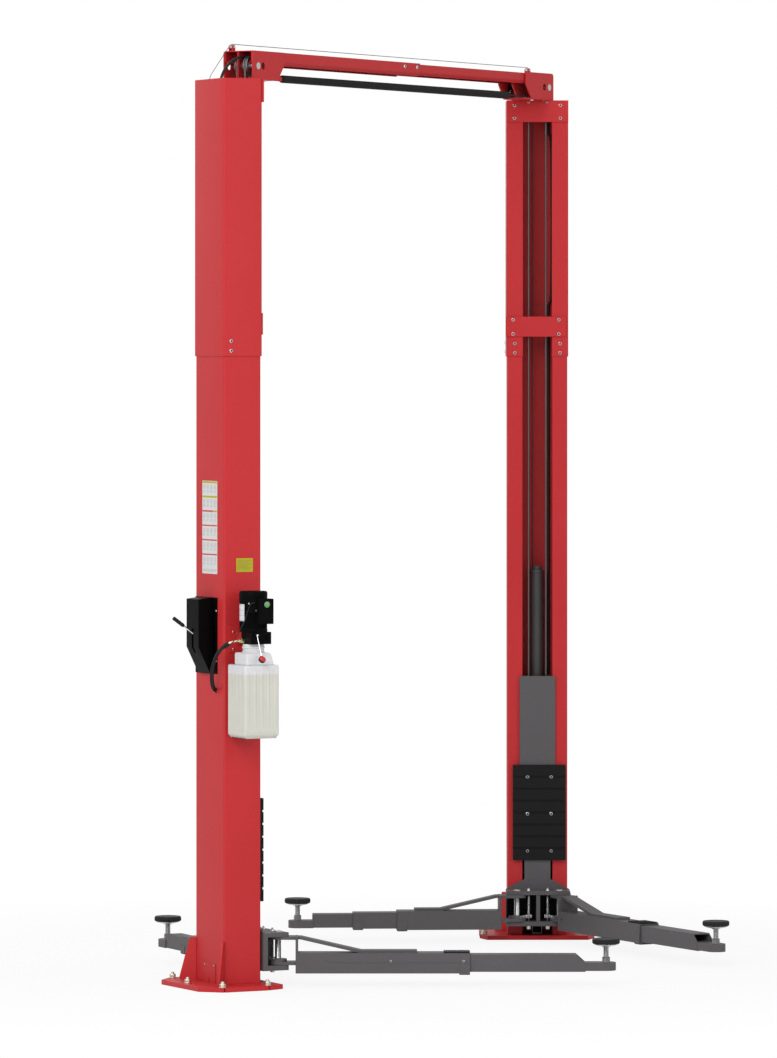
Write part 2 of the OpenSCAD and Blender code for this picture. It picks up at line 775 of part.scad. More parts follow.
module hand_lever() {
    translate(lever_pin) {
        difference() {
            union() {
                rotate([90, 0, 0]) cylinder(r = 9, h = lever_slot - 2, center = true);
                rotate([0, lever_rise - 90, 0]) cylinder(r = lever_r, h = lever_len);
            }
            rotate([90, 0, 0]) cylinder(r = pin_r + pin_gap, h = lever_slot + 2, center = true);
        }
        rotate([0, lever_rise - 90, 0]) translate([0, 0, lever_len - 58]) cylinder(r = 8.5, h = 58);
    }
}

// A plate bolted to the post, with an arm out to the pump block
pump_low_u = unit_u - 39;
module pump_bracket() {
    face = lower_width / 2;
    box([mount_back, face, mount_low], [mount_back + mount_w, face + mount_t, mount_low + mount_h]);
    box([pump_low_u + 6, face + mount_t - e, tank_neck_top + 4], [pump_low_u + pump_w - 6, pump_back, pump_top - 4]);
}

// The lowering valve's lever swings on a pin between two ears on the pump block
valve_pin = [unit_u - 16, unit_v + motor_r + 8, 1497];
module valve_ears() {
    for (s = [-1, 1]) translate(valve_pin + [s * 7, 0, 0]) rotate([0, 90, 0]) cylinder(r = 7, h = 4, center = true);
    for (s = [-1, 1]) box(valve_pin + [s * 7 - 2, -9, -7], valve_pin + [s * 7 + 2, 0, 7]);
    translate(valve_pin - [7, 0, 0]) rotate([0, 90, 0]) cylinder(r = 2, h = 14);
}
module valve_arm() {
    translate(valve_pin) {
        difference() {
            union() {
                rotate([0, 90, 0]) cylinder(r = 5.5, h = 9, center = true);
                rotate([valve_hang - 180, 0, 0]) cylinder(r = valve_rod_r, h = valve_len - 4);
            }
            rotate([0, 90, 0]) cylinder(r = 2 + pin_gap, h = 12, center = true);
        }
        rotate([valve_hang - 180, 0, 0]) translate([0, 0, valve_len]) sphere(r = knob_r);
    }
}

module tank() {
    translate([unit_u, unit_v, 0]) {
        // The body's lower edges are cut off at a slant
        intersection() {
            translate([0, tank_v / 2, 0]) rotate([90, 0, 0]) linear_extrude(tank_v) tank_side(tank_u);
            translate([-tank_u / 2, 0, 0]) rotate([90, 0, 90]) linear_extrude(tank_u) tank_side(tank_v);
        }
        // The shoulder stands over the body's outer corner
        translate([0, tank_v / 2, 0]) rotate([90, 0, 0]) linear_extrude(tank_v - shoulder_back) polygon([
            [shoulder_in - tank_u / 2, tank_body_top - e], [tank_u / 2 - 20, tank_body_top - e],
            [tank_u / 2 - 38, tank_body_top + shoulder_h], [shoulder_in - tank_u / 2, tank_body_top + shoulder_h]]);
        translate([0, 0, tank_body_top + shoulder_h - e]) cylinder(r = neck_r, h = neck_h + e);
    }
}
module tank_side(w) {
    cut = 14;
    polygon([[-w / 2, tank_body_top], [w / 2, tank_body_top], [w / 2, tank_low + cut], [w / 2 - cut, tank_low],
        [cut - w / 2, tank_low], [-w / 2, tank_low + cut]]);
}

module carriage() {
    front = upper_face + apron_gap;
    cw = carriage_w / 2;
    // Two cheeks, a web and the front plate
    for (j = [-1, 1]) box([-55, j > 0 ? cw - carriage_t : -cw, carriage_low], [front, j > 0 ? cw : carriage_t - cw, carriage_high]);
    box([front - e / 2, -cw, carriage_low], [front + apron_t, cw, apron_low + e]);
    box([front - e / 2, -apron_w / 2, apron_low], [front + apron_t, apron_w / 2, carriage_high]);
    // A spreading plate joins the front plate to the yoke
    translate([front, 0, 0]) rotate([90, 0, 90]) linear_extrude(carriage_t) polygon([
        [-yoke_w / 2, yoke_top], [yoke_w / 2, yoke_top], [cw + 5, yoke_top + 44], [-cw - 5, yoke_top + 44]]);
    // Slider blocks keep the carriage in the post
    for (z = [carriage_low + 40, carriage_high - slider_h - 40], j = [-1, 1])
        box([-60, j > 0 ? cw - e : -slider_v, z], [4, j > 0 ? slider_v : e - cw, z + slider_h]);
    // Straps join the cheeks round the cylinder
    for (z = [carriage_low + 60, carriage_high - 60]) difference() {
        box([-46, -cw + e, z], [front, cw - e, z + 12]);
        translate([0, 0, z - e]) cylinder(r = cyl_r + 0.3, h = 14);
        for (v = [-cable_v, cable_v]) translate([cable_u, v, z - e]) cylinder(r = cable_d / 2 + 6, h = 14);
    }
}

module yoke() {
    back = upper_face + apron_gap;
    hw = yoke_w / 2;
    difference() {
        union() {
            box([back, -hw, yoke_low], [yoke_front, hw, yoke_low + yoke_low_t]);
            box([back, -hw, yoke_top - yoke_top_t], [yoke_front, hw, yoke_top]);
            box([back, -hw, yoke_low + e], [back + 12, hw, yoke_top - e]);
            box([back, -rib_t / 2, yoke_low + e], [yoke_front - 4, rib_t / 2, yoke_top - e]);
            for (j = [-1, 1]) box([back, j > 0 ? hw - 6 : -hw, yoke_low + e], [back + 22, j > 0 ? hw : 6 - hw, yoke_top - e]);
        }
    }
    for (j = [-1, 1]) {
        translate([pivot_u, j * pivot_v, yoke_low + e]) cylinder(r = pivot_r, h = yoke_top - yoke_low + 3);
        translate([pivot_u, j * rod_v, yoke_low - 16]) cylinder(r = rod_r, h = yoke_top - yoke_low + 28);
        translate([pivot_u, j * rod_v, root_low + root_t + 1]) cylinder(r = lock_r, h = 13);
        translate([pivot_u, j * rod_v, yoke_low - 16]) cylinder(r = 8.5, h = 16 + e);
    }
}

module cylinder_body() {
    collar_top = cyl_top - cyl_cap_h;
    difference() {
        union() {
            translate([0, 0, cyl_low]) cylinder(r = cyl_r, h = collar_top - cyl_low);
            translate([0, 0, collar_top - e]) cylinder(r = cyl_cap_r, h = cyl_cap_h + e);
            translate([0, 0, collar_top - cyl_collar_h]) cylinder(r = cyl_collar_r, h = cyl_collar_h);
        }
        translate([0, 0, cyl_low + gland_h])
            cylinder(r = cyl_r - cyl_wall, h = cyl_top - cyl_low - gland_h - cyl_head_h);
        translate([0, 0, cyl_low - e]) cylinder(r = rod_bar_r + pin_gap, h = gland_h + 2 * e);
    }
}

module piston_rod() {
    translate([0, 0, base_t]) cylinder(r = rod_bar_r, h = cyl_top - rod_short - base_t);
    box([-rod_foot_w / 2, -rod_foot_w / 2, base_t], [rod_foot_w / 2, rod_foot_w / 2, base_t + rod_foot_h]);
}

module door_guard(shift) {
    back = upper_face + apron_gap + apron_t;
    hw = guard_w / 2;
    face = back + guard_t;
    translate([0, shift, 0]) difference() {
        box([back, -hw, apron_low], [face, hw, apron_low + guard_h]);
        for (i = [1:guard_grooves]) {
            z = apron_low + i * guard_h / (guard_grooves + 1);
            box([face - groove_d, -hw - e, z - groove_h / 2], [face + e, hw + e, z + groove_h / 2]);
        }
    }
}

module tube(x0, x1, w, z, h, wall) {
    difference() {
        box([x0, -w / 2, z], [x1, w / 2, z + h]);
        box([x0 - e, wall - w / 2, z + wall], [x1 + e, w / 2 - wall, z + h - wall]);
    }
}

module arm(outer, brace_end) {
    z = arm_z + arm_h;
    difference() {
        union() {
            for (low = [root_low, root_high - root_t]) translate([0, 0, low]) linear_extrude(root_t) {
                circle(root_r);
                translate([0, -root_r]) square([arm_start + 2, 2 * root_r]);
            }
            translate([0, 0, root_low + root_t - e]) cylinder(r = ring_r, h = 12 + e);
        }
        translate([0, 0, root_low - e]) cylinder(r = pivot_r + pin_gap, h = root_high - root_low + 2 * e);
    }
    box([arm_start, -arm_w / 2, arm_z], [arm_start + 10, arm_w / 2, root_high]);
    tube(arm_start + 10 - e, outer, arm_w, arm_z, arm_h, arm_wall);
    // The brace is one bent flat bar
    translate([0, brace_w / 2, 0]) rotate([90, 0, 0]) linear_extrude(brace_w) polygon([
        [arm_start + 9, root_high - 12], [arm_start + 9, root_high], [arm_start + 24, root_high],
        [brace_down, z + brace_t], [brace_end, z + brace_t], [brace_end, z - e],
        [brace_down - 6, z - e], [arm_start + 20, root_high - brace_t - 1]]);
}

module tip(x, tube_end) {
    difference() {
        union() {
            translate([x, 0, tip_z]) cylinder(r = tip_r, h = tip_h);
            box([tube_end - e, -tip_r, tip_z], [x, tip_r, tip_z + tip_h]);
            box([tube_end - 60, -last_w / 2 + arm_wall, tip_z + 5], [tube_end, last_w / 2 - arm_wall, tip_z + tip_h]);
            translate([x, 0, tip_z]) cylinder(r = collar_r, h = tip_h + collar_h);
        }
        translate([x, 0, tip_z - e]) cylinder(r = screw_r + pin_gap, h = tip_h + collar_h + 2 * e);
    }
}

module long_extension() {
    difference() {
        tube(long_outer - long_overlap, long_inner, inner_w, inner_z, inner_h, arm_wall - 1);
        translate([long_inner - 40, -inner_w, inner_z + inner_h]) rotate([0, 42, 0]) cube([80, 2 * inner_w, 60]);
    }
    tip(long_reach, long_inner - 8);
}
module short_mid() { tube(short_outer - 200, short_middle, inner_w, inner_z, inner_h, arm_wall - 1); }
module short_extension() {
    tube(short_middle - 180, short_inner, last_w, last_z, last_h, arm_wall - 1);
    tip(short_reach, short_inner);
}

module pad(x) {
    low = pad_top - pad_t;
    translate([x, 0, 0]) {
        translate([0, 0, low]) cylinder(r = pad_r, h = pad_t);
        translate([0, 0, low - dish_h]) cylinder(r1 = 22, r2 = 50, h = dish_h);
        translate([0, 0, tip_z]) cylinder(r = screw_r, h = low - dish_h - tip_z + e);
    }
}

module long_arm_place() { translate([pivot_u, pivot_v, 0]) rotate([0, 0, long_angle]) children(); }
module short_arm_place() { translate([pivot_u, -pivot_v, 0]) rotate([0, 0, short_angle]) children(); }

function unit3(a) = a / norm(a);
function tangent(p, i) = unit3(p[min(i + 1, len(p) - 1)] - p[max(i - 1, 0)]);
// One closed sweep of a round section along a list of points
module sweep(p, r, n) {
    rings = [for (i = [0:len(p) - 1]) let (t = tangent(p, i), a = unit3(cross([0.31, 0.2, 0.93], t)), b = cross(t, a))
        for (k = [0:n - 1]) p[i] + r * (cos(360 * k / n) * a + sin(360 * k / n) * b)];
    last = len(p) - 1;
    sides = [for (i = [0:last - 1], k = [0:n - 1])
        [i * n + k, (i + 1) * n + k, (i + 1) * n + (k + 1) % n, i * n + (k + 1) % n]];
    polyhedron(rings, concat([[for (k = [0:n - 1]) k]], sides, [[for (k = [0:n - 1]) last * n + n - 1 - k]]));
}

color(red) at_left() base_plate();  // left_base_plate
color(red) at_right() base_plate();  // right_base_plate
color(red) at_left() lower_column();  // left_lower_column
color(red) at_right() lower_column();  // right_lower_column
color(red) at_left() upper_column();  // left_upper_column
color(red) at_right() upper_column();  // right_upper_column
color(red) { at_left() tie_plate(); at_right() tie_plate(); }  // tie_plates
color(red) { at_left() head_plate(); at_right() head_plate(); }  // head_plates
color(red) { head_bracket(0); bar_ears(); }  // left_head_bracket
color(red) { across() head_bracket(beam_t + 0.3); bar_rest(); }  // right_head_bracket
color(red) left_beam();  // left_crossbeam
color(red) right_beam();  // right_crossbeam
color(zinc) { pins(); across() pins(); }  // sheave_pins
color(zinc) {  // release_pulleys
    release_ears(release_x, release_y);
    across() release_ears(release_x, release_y);
}
color(zinc) sweep(release_points, 1.5, 8);  // release_wire
color(grey) { cable_run(front_cable); cable_run(back_cable); }  // equalizing_cables
color(red) { at_left() ladder(); at_right() ladder(); }  // lock_ladders
color(red) { at_left() access_cover(); at_right() access_cover(); }  // access_covers
color("white") at_left() notice();  // notice_plates
color(black) across()  // limit_switch
    box([limit_out, bracket_back - bracket_t - limit_d, head_top + limit_rise],
        [limit_out + limit_w, bracket_back - bracket_t, head_top + limit_rise + limit_h]);
color(black) at_left() lock_cover();  // lock_box
color(red) at_left() pump_bracket();  // pump_mount
color(black) at_left()  // motor
    translate([unit_u, unit_v, pump_top]) cylinder(r = motor_r, h = motor_h);
color(black) at_left()  // switch_box
    translate([unit_u - 14, unit_v + motor_r + seat_gap, pump_top + 35]) cube([switch_w, switch_d, switch_h]);
color(black) at_left() {  // pump_block
    translate([pump_low_u, pump_back, tank_neck_top]) cube([pump_w, unit_v + motor_r - pump_back, pump_h]);
    valve_ears();
}
color("ivory") at_left() tank();  // oil_tank
color(black) at_left() sweep(pressure_points, pressure_r, 10);  // pressure_hose
color(black) sweep(top_hose_points, 6, 10);  // top_hose
color(zinc) { at_left() piston_rod(); at_right() piston_rod(); }  // piston_rods
color(black) pivot_bar();  // limit_bar
color(zinc) at_left() hand_lever();  // lock_lever
color("red") at_left() valve_arm();  // valve_lever
color(grey) left_front();  // left_front_sheave
color(grey) left_back();  // left_back_sheave
color(grey) across() left_front();  // right_front_sheave
color(grey) across() left_back();  // right_back_sheave
color(grey) at_left() carriage();  // left_carriage
color(grey) at_right() carriage();  // right_carriage
color(grey) at_left() yoke();  // left_yoke
color(grey) at_right() yoke();  // right_yoke
color(black) at_left() cylinder_body();  // left_cylinder
color(black) at_right() cylinder_body();  // right_cylinder
color(black) at_left() door_guard(-guard_shift);  // left_door_guard
color(black) at_right() door_guard(guard_shift);  // right_door_guard
color(grey) at_left() long_arm_place() arm(long_outer, long_brace);  // near_left_arm
color(grey) at_left() long_arm_place() long_extension();  // near_left_extension
color(black) at_left() long_arm_place() pad(long_reach);  // near_left_pad
color(grey) at_left() short_arm_place() arm(short_outer, short_brace);  // far_left_arm
color(grey) at_left() short_arm_place() short_mid();  // far_left_middle
color(grey) at_left() short_arm_place() short_extension();  // far_left_extension
color(black) at_left() short_arm_place() pad(short_reach);  // far_left_pad
color(grey) at_right() long_arm_place() arm(long_outer, long_brace);  // near_right_arm
color(grey) at_right() long_arm_place() long_extension();  // near_right_extension
color(black) at_right() long_arm_place() pad(long_reach);  // near_right_pad
color(grey) at_right() short_arm_place() arm(short_outer, short_brace);  // far_right_arm
color(grey) at_right() short_arm_place() short_mid();  // far_right_middle
color(grey) at_right() short_arm_place() short_extension();  // far_right_extension
color(black) at_right() short_arm_place() pad(short_reach);  // far_right_pad
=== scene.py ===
# %% [markdown]
# A two post car lift in Blender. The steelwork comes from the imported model, in metres, with +Z up and the
# origin under the left post. This file adds the finishes, rounds the edges of the plates, and builds what a
# sheet metal model leaves plain: pads, guards, motor, tank, hoses, cables, bolts, springs and levers.

# %% Frame
import json
import math
import bpy
import bmesh
import numpy as np
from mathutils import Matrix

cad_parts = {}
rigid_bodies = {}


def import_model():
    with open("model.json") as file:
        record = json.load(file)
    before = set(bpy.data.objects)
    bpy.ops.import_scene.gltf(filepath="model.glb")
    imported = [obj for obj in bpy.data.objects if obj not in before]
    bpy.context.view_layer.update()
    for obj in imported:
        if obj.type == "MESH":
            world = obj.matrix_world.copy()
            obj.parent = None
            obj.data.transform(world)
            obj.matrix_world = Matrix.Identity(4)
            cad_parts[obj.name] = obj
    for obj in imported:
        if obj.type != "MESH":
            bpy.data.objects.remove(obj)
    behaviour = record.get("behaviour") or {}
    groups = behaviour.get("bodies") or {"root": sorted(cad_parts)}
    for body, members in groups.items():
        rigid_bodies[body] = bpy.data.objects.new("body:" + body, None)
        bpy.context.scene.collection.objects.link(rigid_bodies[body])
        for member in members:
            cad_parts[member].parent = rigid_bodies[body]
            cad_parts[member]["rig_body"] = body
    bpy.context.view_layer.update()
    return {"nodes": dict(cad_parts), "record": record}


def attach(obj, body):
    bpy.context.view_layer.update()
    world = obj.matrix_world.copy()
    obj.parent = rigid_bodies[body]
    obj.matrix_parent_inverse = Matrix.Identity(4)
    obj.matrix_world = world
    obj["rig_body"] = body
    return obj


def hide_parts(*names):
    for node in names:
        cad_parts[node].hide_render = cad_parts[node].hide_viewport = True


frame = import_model()
nodes = frame["nodes"]


def linked(name, data):
    """A new object in the scene."""
    obj = bpy.data.objects.new(name, data)
    bpy.context.scene.collection.objects.link(obj)
    return obj


# %% [markdown]
# The camera stands far off with a long lens, level with the upper third of the posts, so that the uprights
# stay parallel. The picture is framed with a lens shift instead of a tilt.

# %% Camera
camera_data = bpy.data.cameras.new("camera")
camera_data.lens = 215.6
camera_data.sensor_width = 36.0
camera_data.shift_y = -0.1595
camera_data.clip_end = 200.0
camera = linked("camera", camera_data)
camera.location = (-22.66, -14.413, 2.650)
camera.rotation_euler = (math.radians(90), 0.0, math.radians(-58.99))
bpy.context.scene.camera = camera
bpy.context.scene.view_settings.view_transform = "Standard"

# %% [markdown]
# Each post is turned to the front of the bay, so it has its own directions: u points into the bay and v runs
# along the post's width, towards the front. A place that turns points from a post's directions into the
# shared frame lets both posts be dressed by the same numbers. All shapes are worked out in millimetres.

# %% Places
POST_SPACING = 2640.0
POST_TURN = math.radians(31.5)
MM = 0.001


def in_bay(p):
    """Points that are in the shared frame already."""
    return p


def on_left(p):
    """x = u cos t - v sin t and y = -u sin t - v cos t, with t the turn of the post."""
    c, s = math.cos(POST_TURN), math.sin(POST_TURN)
    return np.stack([p[:, 0] * c - p[:, 1] * s, -p[:, 0] * s - p[:, 1] * c, p[:, 2]], axis=1)


def on_right(p):
    """The left post's place, mirrored across the middle of the bay."""
    q = on_left(p)
    return np.stack([POST_SPACING - q[:, 0], q[:, 1], q[:, 2]], axis=1)


POSTS = {"left": on_left, "right": on_right}

# %% [markdown]
# Most new pieces are skins over a grid of points. The rows of the grid follow one parameter, such as the
# height of a turned part, and the columns follow the other, such as the angle round it. The helpers below
# make the grid as whole arrays, which is quicker and shorter than placing each point, and close its ends.

# %% Shapes from arrays


def skin(grid, caps=True):
    """Quads between the rows of a grid of points, closed round each row and over both ends."""
    rows, cols = grid.shape[:2]
    i = np.arange(rows - 1)[:, None]
    j = np.arange(cols)[None, :]
    k = (j + 1) % cols
    quads = np.stack([i * cols + j, i * cols + k, (i + 1) * cols + k, (i + 1) * cols + j], axis=-1)
    faces = quads.reshape(-1, 4).tolist()
    if caps:
        faces += [list(range(cols))[::-1], [(rows - 1) * cols + c for c in range(cols)]]
    return grid.reshape(-1, 3), faces


def axes_for(direction):
    """Two unit vectors across a direction, and the direction itself."""
    w = np.array(direction, float)
    w /= np.linalg.norm(w)
    helper = np.array([0.0, 0.0, 1.0]) if abs(w[2]) < 0.9 else np.array([1.0, 0.0, 0.0])
    a = np.cross(helper, w)
    a /= np.linalg.norm(a)
    return a, np.cross(w, a), w


def turned(profile, at=(0, 0, 0), axis=(0, 0, 1), sides=32):
    """A turned part. Rows are (radius, height) or (radius, height, 1) where the row is a hexagon.

    A circle has a constant radius r, and a hexagon has r cos 30 / cos(angle within its side)."""
    rows = np.array([tuple(row) + (0,) * (3 - len(row)) for row in profile], float)
    t = np.linspace(0, 2 * np.pi, sides, endpoint=False)
    within = (t % (np.pi / 3)) - np.pi / 6
    hexed = np.cos(np.pi / 6) / np.cos(within)
    radius = rows[:, 0:1] * (1 + rows[:, 2:3] * (hexed[None, :] - 1))
    a, b, w = axes_for(axis)
    ring = np.cos(t)[:, None] * a + np.sin(t)[:, None] * b
    grid = np.array(at, float) + radius[:, :, None] * ring[None] + rows[:, 1][:, None, None] * w
    return skin(grid)


def extruded(outline, low, high, axis="z"):
    """A flat outline pushed along an axis. The outline is (x, y), (x, z) or (y, z) for z, y or x."""
    o = np.array(outline, float)
    across, push = {"z": ([0, 1], 2), "y": ([0, 2], 1), "x": ([1, 2], 0)}[axis]
    grid = np.empty((2, len(o), 3))
    grid[:, :, across] = o
    grid[:, :, push] = [[low], [high]]
    return skin(grid)


def block(low, high):
    """A box between two corners."""
    (x0, y0, z0), (x1, y1, z1) = low, high
    return extruded([(x0, y0), (x1, y0), (x1, y1), (x0, y1)], z0, z1)


print("faces of a box", len(block((0, 0, 0), (1, 1, 1))[1]))

# %% [markdown]
# Hoses, ropes, springs and seams are round sections carried along a path. A curve object could do it, but an
# array of points has a known length, and the same points then tell where a hose runs.

# %% Paths


def smooth_path(points, steps=10):
    """A Catmull-Rom curve: each stretch is a cubic through its ends, with tangents from the neighbours."""
    p = np.array(points, float)
    p = np.vstack([2 * p[0] - p[1], p, 2 * p[-1] - p[-2]])
    t = np.linspace(0, 1, steps, endpoint=False)[None, :, None]
    a, b, c, d = (p[i:len(p) - 3 + i, None, :] for i in range(4))
    curve = 0.5 * (2 * b + (c - a) * t + (2 * a - 5 * b + 4 * c - d) * t**2 + (3 * b - a - 3 * c + d) * t**3)
    return np.vstack([curve.reshape(-1, 3), p[-2]])


def along(path, radius, sides=16):
    """A round section carried along a path. Its frame leans on one fixed direction, so it never twists."""
    p = np.array(path, float)
    tangent = np.gradient(p, axis=0)
    tangent /= np.linalg.norm(tangent, axis=1)[:, None]
    a = np.cross(np.array([0.31, 0.2, 0.93]), tangent)
    a /= np.linalg.norm(a, axis=1)[:, None]
    b = np.cross(tangent, a)
    t = np.linspace(0, 2 * np.pi, sides, endpoint=False)
    r = np.broadcast_to(np.array(radius, float).reshape(-1, 1, 1), (len(p), 1, 1))
    ring = np.cos(t)[None, :, None] * a[:, None] + np.sin(t)[None, :, None] * b[:, None]
    return skin(p[:, None] + r * ring)


def joined(shapes):
    """Several shapes as one list of points and faces."""
    points, faces, start = [], [], 0
    for p, f in shapes:
        points.append(p)
        faces += [[i + start for i in face] for face in f]
        start += len(p)
    return np.vstack(points), faces


print("points on a curve through three", len(smooth_path([(0, 0, 0), (1, 0, 0), (1, 1, 0)])))

# %% [markdown]
# Shader maths reads best as ordinary expressions. The first class below wraps one socket, and its operators
# add Math nodes, so a line such as `0.3 + grain * 0.1` builds the nodes for it. The second holds one node tree
# and makes any other node from its type, its settings and the values of its sockets. The third is a material.

# %% Shader values and finishes


class Value:
    """One output socket. Arithmetic on it adds a Math node to its tree."""

    def __init__(self, home, socket):
        self.home = home
        self.socket = socket

    def math(self, operation, *others):
        return self.home.node("ShaderNodeMath", {"operation": operation}, self, *others)

    def __add__(self, other):
        return self.math("ADD", other)

    __radd__ = __add__

    def __mul__(self, other):
        return self.math("MULTIPLY", other)

    def __sub__(self, other):
        return self.math("SUBTRACT", other)

    def __rsub__(self, other):
        return (self * -1.0) + other

    def clamp(self):
        return self.home.node("ShaderNodeClamp", {}, self)

    def step(self, low, high):
        """0 below low, 1 above high, and a straight slope between."""
        return ((self - low) * (1.0 / (high - low))).clamp()


class Nodes:
    """A node tree. A socket takes a plain value or another node's output."""

    def __init__(self, tree):
        self.tree = tree

    def node(self, kind, settings, *values, out=0, **named):
        made = self.tree.nodes.new(kind)
        for key, value in settings.items():
            setattr(made, key, value)
        for socket, value in zip(made.inputs, values):
            self.give(socket, value)
        for key, value in named.items():
            self.give(made.inputs[key.replace("_", " ")], value)
        return Value(self, made.outputs[out]) if made.outputs else None

    def give(self, socket, value):
        if isinstance(value, Value):
            self.tree.links.new(value.socket, socket)
        else:
            socket.default_value = value


class Finish(Nodes):
    """One material with a Principled shader, whose plain sockets are given by name."""

    def __init__(self, name, slot, **sockets):
        self.slot = slot
        self.material = bpy.data.materials.new(name)
        self.material.use_nodes = True
        super().__init__(self.material.node_tree)
        self.shader = self.tree.nodes["Principled BSDF"]
        for key, value in sockets.items():
            self.set(key.replace("_", " "), value)
        self.where = self.node("ShaderNodeTexCoord", {}, out="Object")

    def set(self, name, value):
        if isinstance(value, tuple) and len(value) == 3:
            value = value + (1.0,)
        self.give(self.shader.inputs[name], value)

    def noise(self, scale, detail):
        """Soft noise, 0 to 1, with this many spots to the metre."""
        return self.node("ShaderNodeTexNoise", {}, Vector=self.where, Scale=scale, Detail=detail)

    def axis(self, name):
        """One coordinate of the point, in metres."""
        return self.node("ShaderNodeSeparateXYZ", {}, self.where, out=name)

    def mix(self, factor, a, b):
        """Colour a where factor is 0, and b where it is 1."""
        made = self.tree.nodes.new("ShaderNodeMix")
        made.data_type = "RGBA"
        for index, value in ((0, factor), (6, a), (7, b)):
            self.give(made.inputs[index], value + (1.0,) if isinstance(value, tuple) else value)
        return Value(self, made.outputs[2])

    def bump(self, height, strength, distance):
        """Height is 0 to 1, and distance is the depth in metres that it stands for."""
        normal = self.node("ShaderNodeBump", {}, Height=height, Strength=strength, Distance=distance)
        self.set("Normal", normal)


# %% [markdown]
# The posts have a thick powder coat: an even red with a fine orange peel that breaks the highlights. Three
# scales of noise make it: slow drifts of tone over the sheet, grains of some millimetres and the peel.

# %% Paints


def powder_coat(name, slot, colour, deeper, roughness, peel, sheen=0.22, gloss=0.08):
    """Colour drifts from deeper to colour, and roughness and height follow the grain of the coat."""
    f = Finish(name, slot, Specular_IOR_Level=sheen, Coat_Roughness=0.3)
    drift = f.noise(2.6, 3.0)
    grain = f.noise(150.0, 3.0)
    fine = f.noise(420.0, 2.0)
    tone = (drift * 0.45 + grain * 0.75 - 0.1).clamp()
    f.set("Base Color", f.mix(tone, deeper, colour))
    f.set("Roughness", (roughness + (fine - 0.5) * 0.16).clamp())
    f.set("Coat Weight", (0.4 * gloss + drift * gloss).clamp())
    f.bump(grain * 0.55 + fine * 0.45, peel, 0.0006)
    return f


red_coat = powder_coat("red_powder_coat", "red_paint",
                       (0.60, 0.030, 0.034), (0.48, 0.019, 0.023), 0.46, 0.30)
grey_coat = powder_coat("grey_powder_coat", "grey_paint",
                        (0.118, 0.112, 0.117), (0.088, 0.083, 0.088), 0.50, 0.25)
black_coat = powder_coat("black_powder_coat", "black_paint",
                         (0.0030, 0.0028, 0.0030), (0.0015, 0.0014, 0.0015), 0.42, 0.30, 0.05, 0.01)
cylinder_coat = powder_coat("cylinder_coat", "cylinder_paint",
                            (0.085, 0.082, 0.085), (0.055, 0.053, 0.055), 0.34, 0.12)

# %% [markdown]
# Bare metal differs mostly by its roughness and colour. Zinc plate is bright with a cloudy bloom, anchors
# carry a yellowish passivation, cast sheaves are dull, and wire rope shows its strands as slanting bands,
# darker in the grooves between them as painted shade.

# %% Metals


def bare_metal(name, slot, bright, dull, roughness, cloud, depth=0.00015):
    """A metal whose colour and roughness follow two scales of noise."""
    f = Finish(name, slot, Metallic=1.0)
    bloom = f.noise(cloud, 4.0)
    scratch = f.noise(cloud * 9.0, 2.0)
    f.set("Base Color", f.mix(bloom, bright, dull))
    f.set("Roughness", (roughness + (bloom - 0.5) * 0.22 + (scratch - 0.5) * 0.10).clamp())
    f.bump(scratch, 0.25, depth)
    return f


zinc = bare_metal("bright_zinc", "zinc_plate", (0.86, 0.87, 0.86), (0.58, 0.60, 0.60), 0.30, 90.0)
anchor_zinc = bare_metal("anchor_zinc", "zinc_plate", (0.88, 0.88, 0.78), (0.62, 0.62, 0.50), 0.34, 120.0)
brass = bare_metal("passivated_brass", "zinc_plate", (0.74, 0.72, 0.40), (0.56, 0.53, 0.27), 0.30, 60.0)
pipe_zinc = bare_metal("pale_pipe", "zinc_plate", (0.86, 0.86, 0.66), (0.74, 0.73, 0.50), 0.30, 40.0)
lever_steel = bare_metal("polished_lever", "lever_steel", (0.90, 0.90, 0.91), (0.74, 0.74, 0.76), 0.18, 60.0)
# The dark oxide is the real black finish of the limit bar's rod, and it also colours the blocks at the bottom
# of the screw sockets, which are painted shade.
dark_oxide_and_socket_shade = bare_metal("dark_oxide_and_socket_shade", "zinc_plate", (0.05, 0.05, 0.05), (0.02, 0.02, 0.02), 0.55, 120.0)
screw_steel = bare_metal("screw_steel", "pad_steel", (0.52, 0.52, 0.53), (0.30, 0.30, 0.31), 0.36, 130.0)
cast_steel = bare_metal("cast_sheave", "cast_sheave", (0.42, 0.42, 0.43), (0.22, 0.22, 0.23), 0.45, 140.0,
                        0.0004)


def wire_rope(name, colour, dark, pitch):
    """Strands are bands of sin(2 pi (z + x / 2 + y / 2) / pitch), with the pitch in metres."""
    f = Finish(name, "steel_wire", Metallic=0.85, Roughness=0.45)
    lay = f.axis("Z") + f.axis("X") * 0.5 + f.axis("Y") * 0.5
    band = (lay * (2 * math.pi / pitch)).math("SINE") * 0.5 + 0.5
    # The dark colour falls in the grooves between strands, where the bump is low: it is painted shade.
    f.set("Base Color", f.mix(band, dark, colour))
    f.bump(band, 0.6, 0.0006)
    return f


rope = wire_rope("wire_rope", (0.22, 0.22, 0.22), (0.05, 0.05, 0.05), 0.009)
thin_rope = wire_rope("thin_wire_rope", (0.26, 0.26, 0.26), (0.07, 0.07, 0.07), 0.004)

# %% [markdown]
# Rubber and foam are almost black with a soft sheen, and the padded bar has open pores. Plain black would look
# like a hole in the picture, so speckles and a little dust vary their colour, roughness and height.

# %% Rubbers


def rubber(name, slot, colour, roughness, grain, depth, sheen=0.22):
    """A dark dielectric with speckles in its colour, roughness and height."""
    f = Finish(name, slot, Specular_IOR_Level=sheen)
    speck = f.noise(grain, 3.0)
    dust = f.noise(7.0, 2.0)
    pale = tuple(min(1.0, c * 1.9 + 0.004) for c in colour)
    f.set("Base Color", f.mix((speck * 0.5 + dust * 0.4).clamp(), colour, pale))
    f.set("Roughness", (roughness + (speck - 0.5) * 0.2).clamp())
    f.bump(speck, 0.4, depth)
    return f


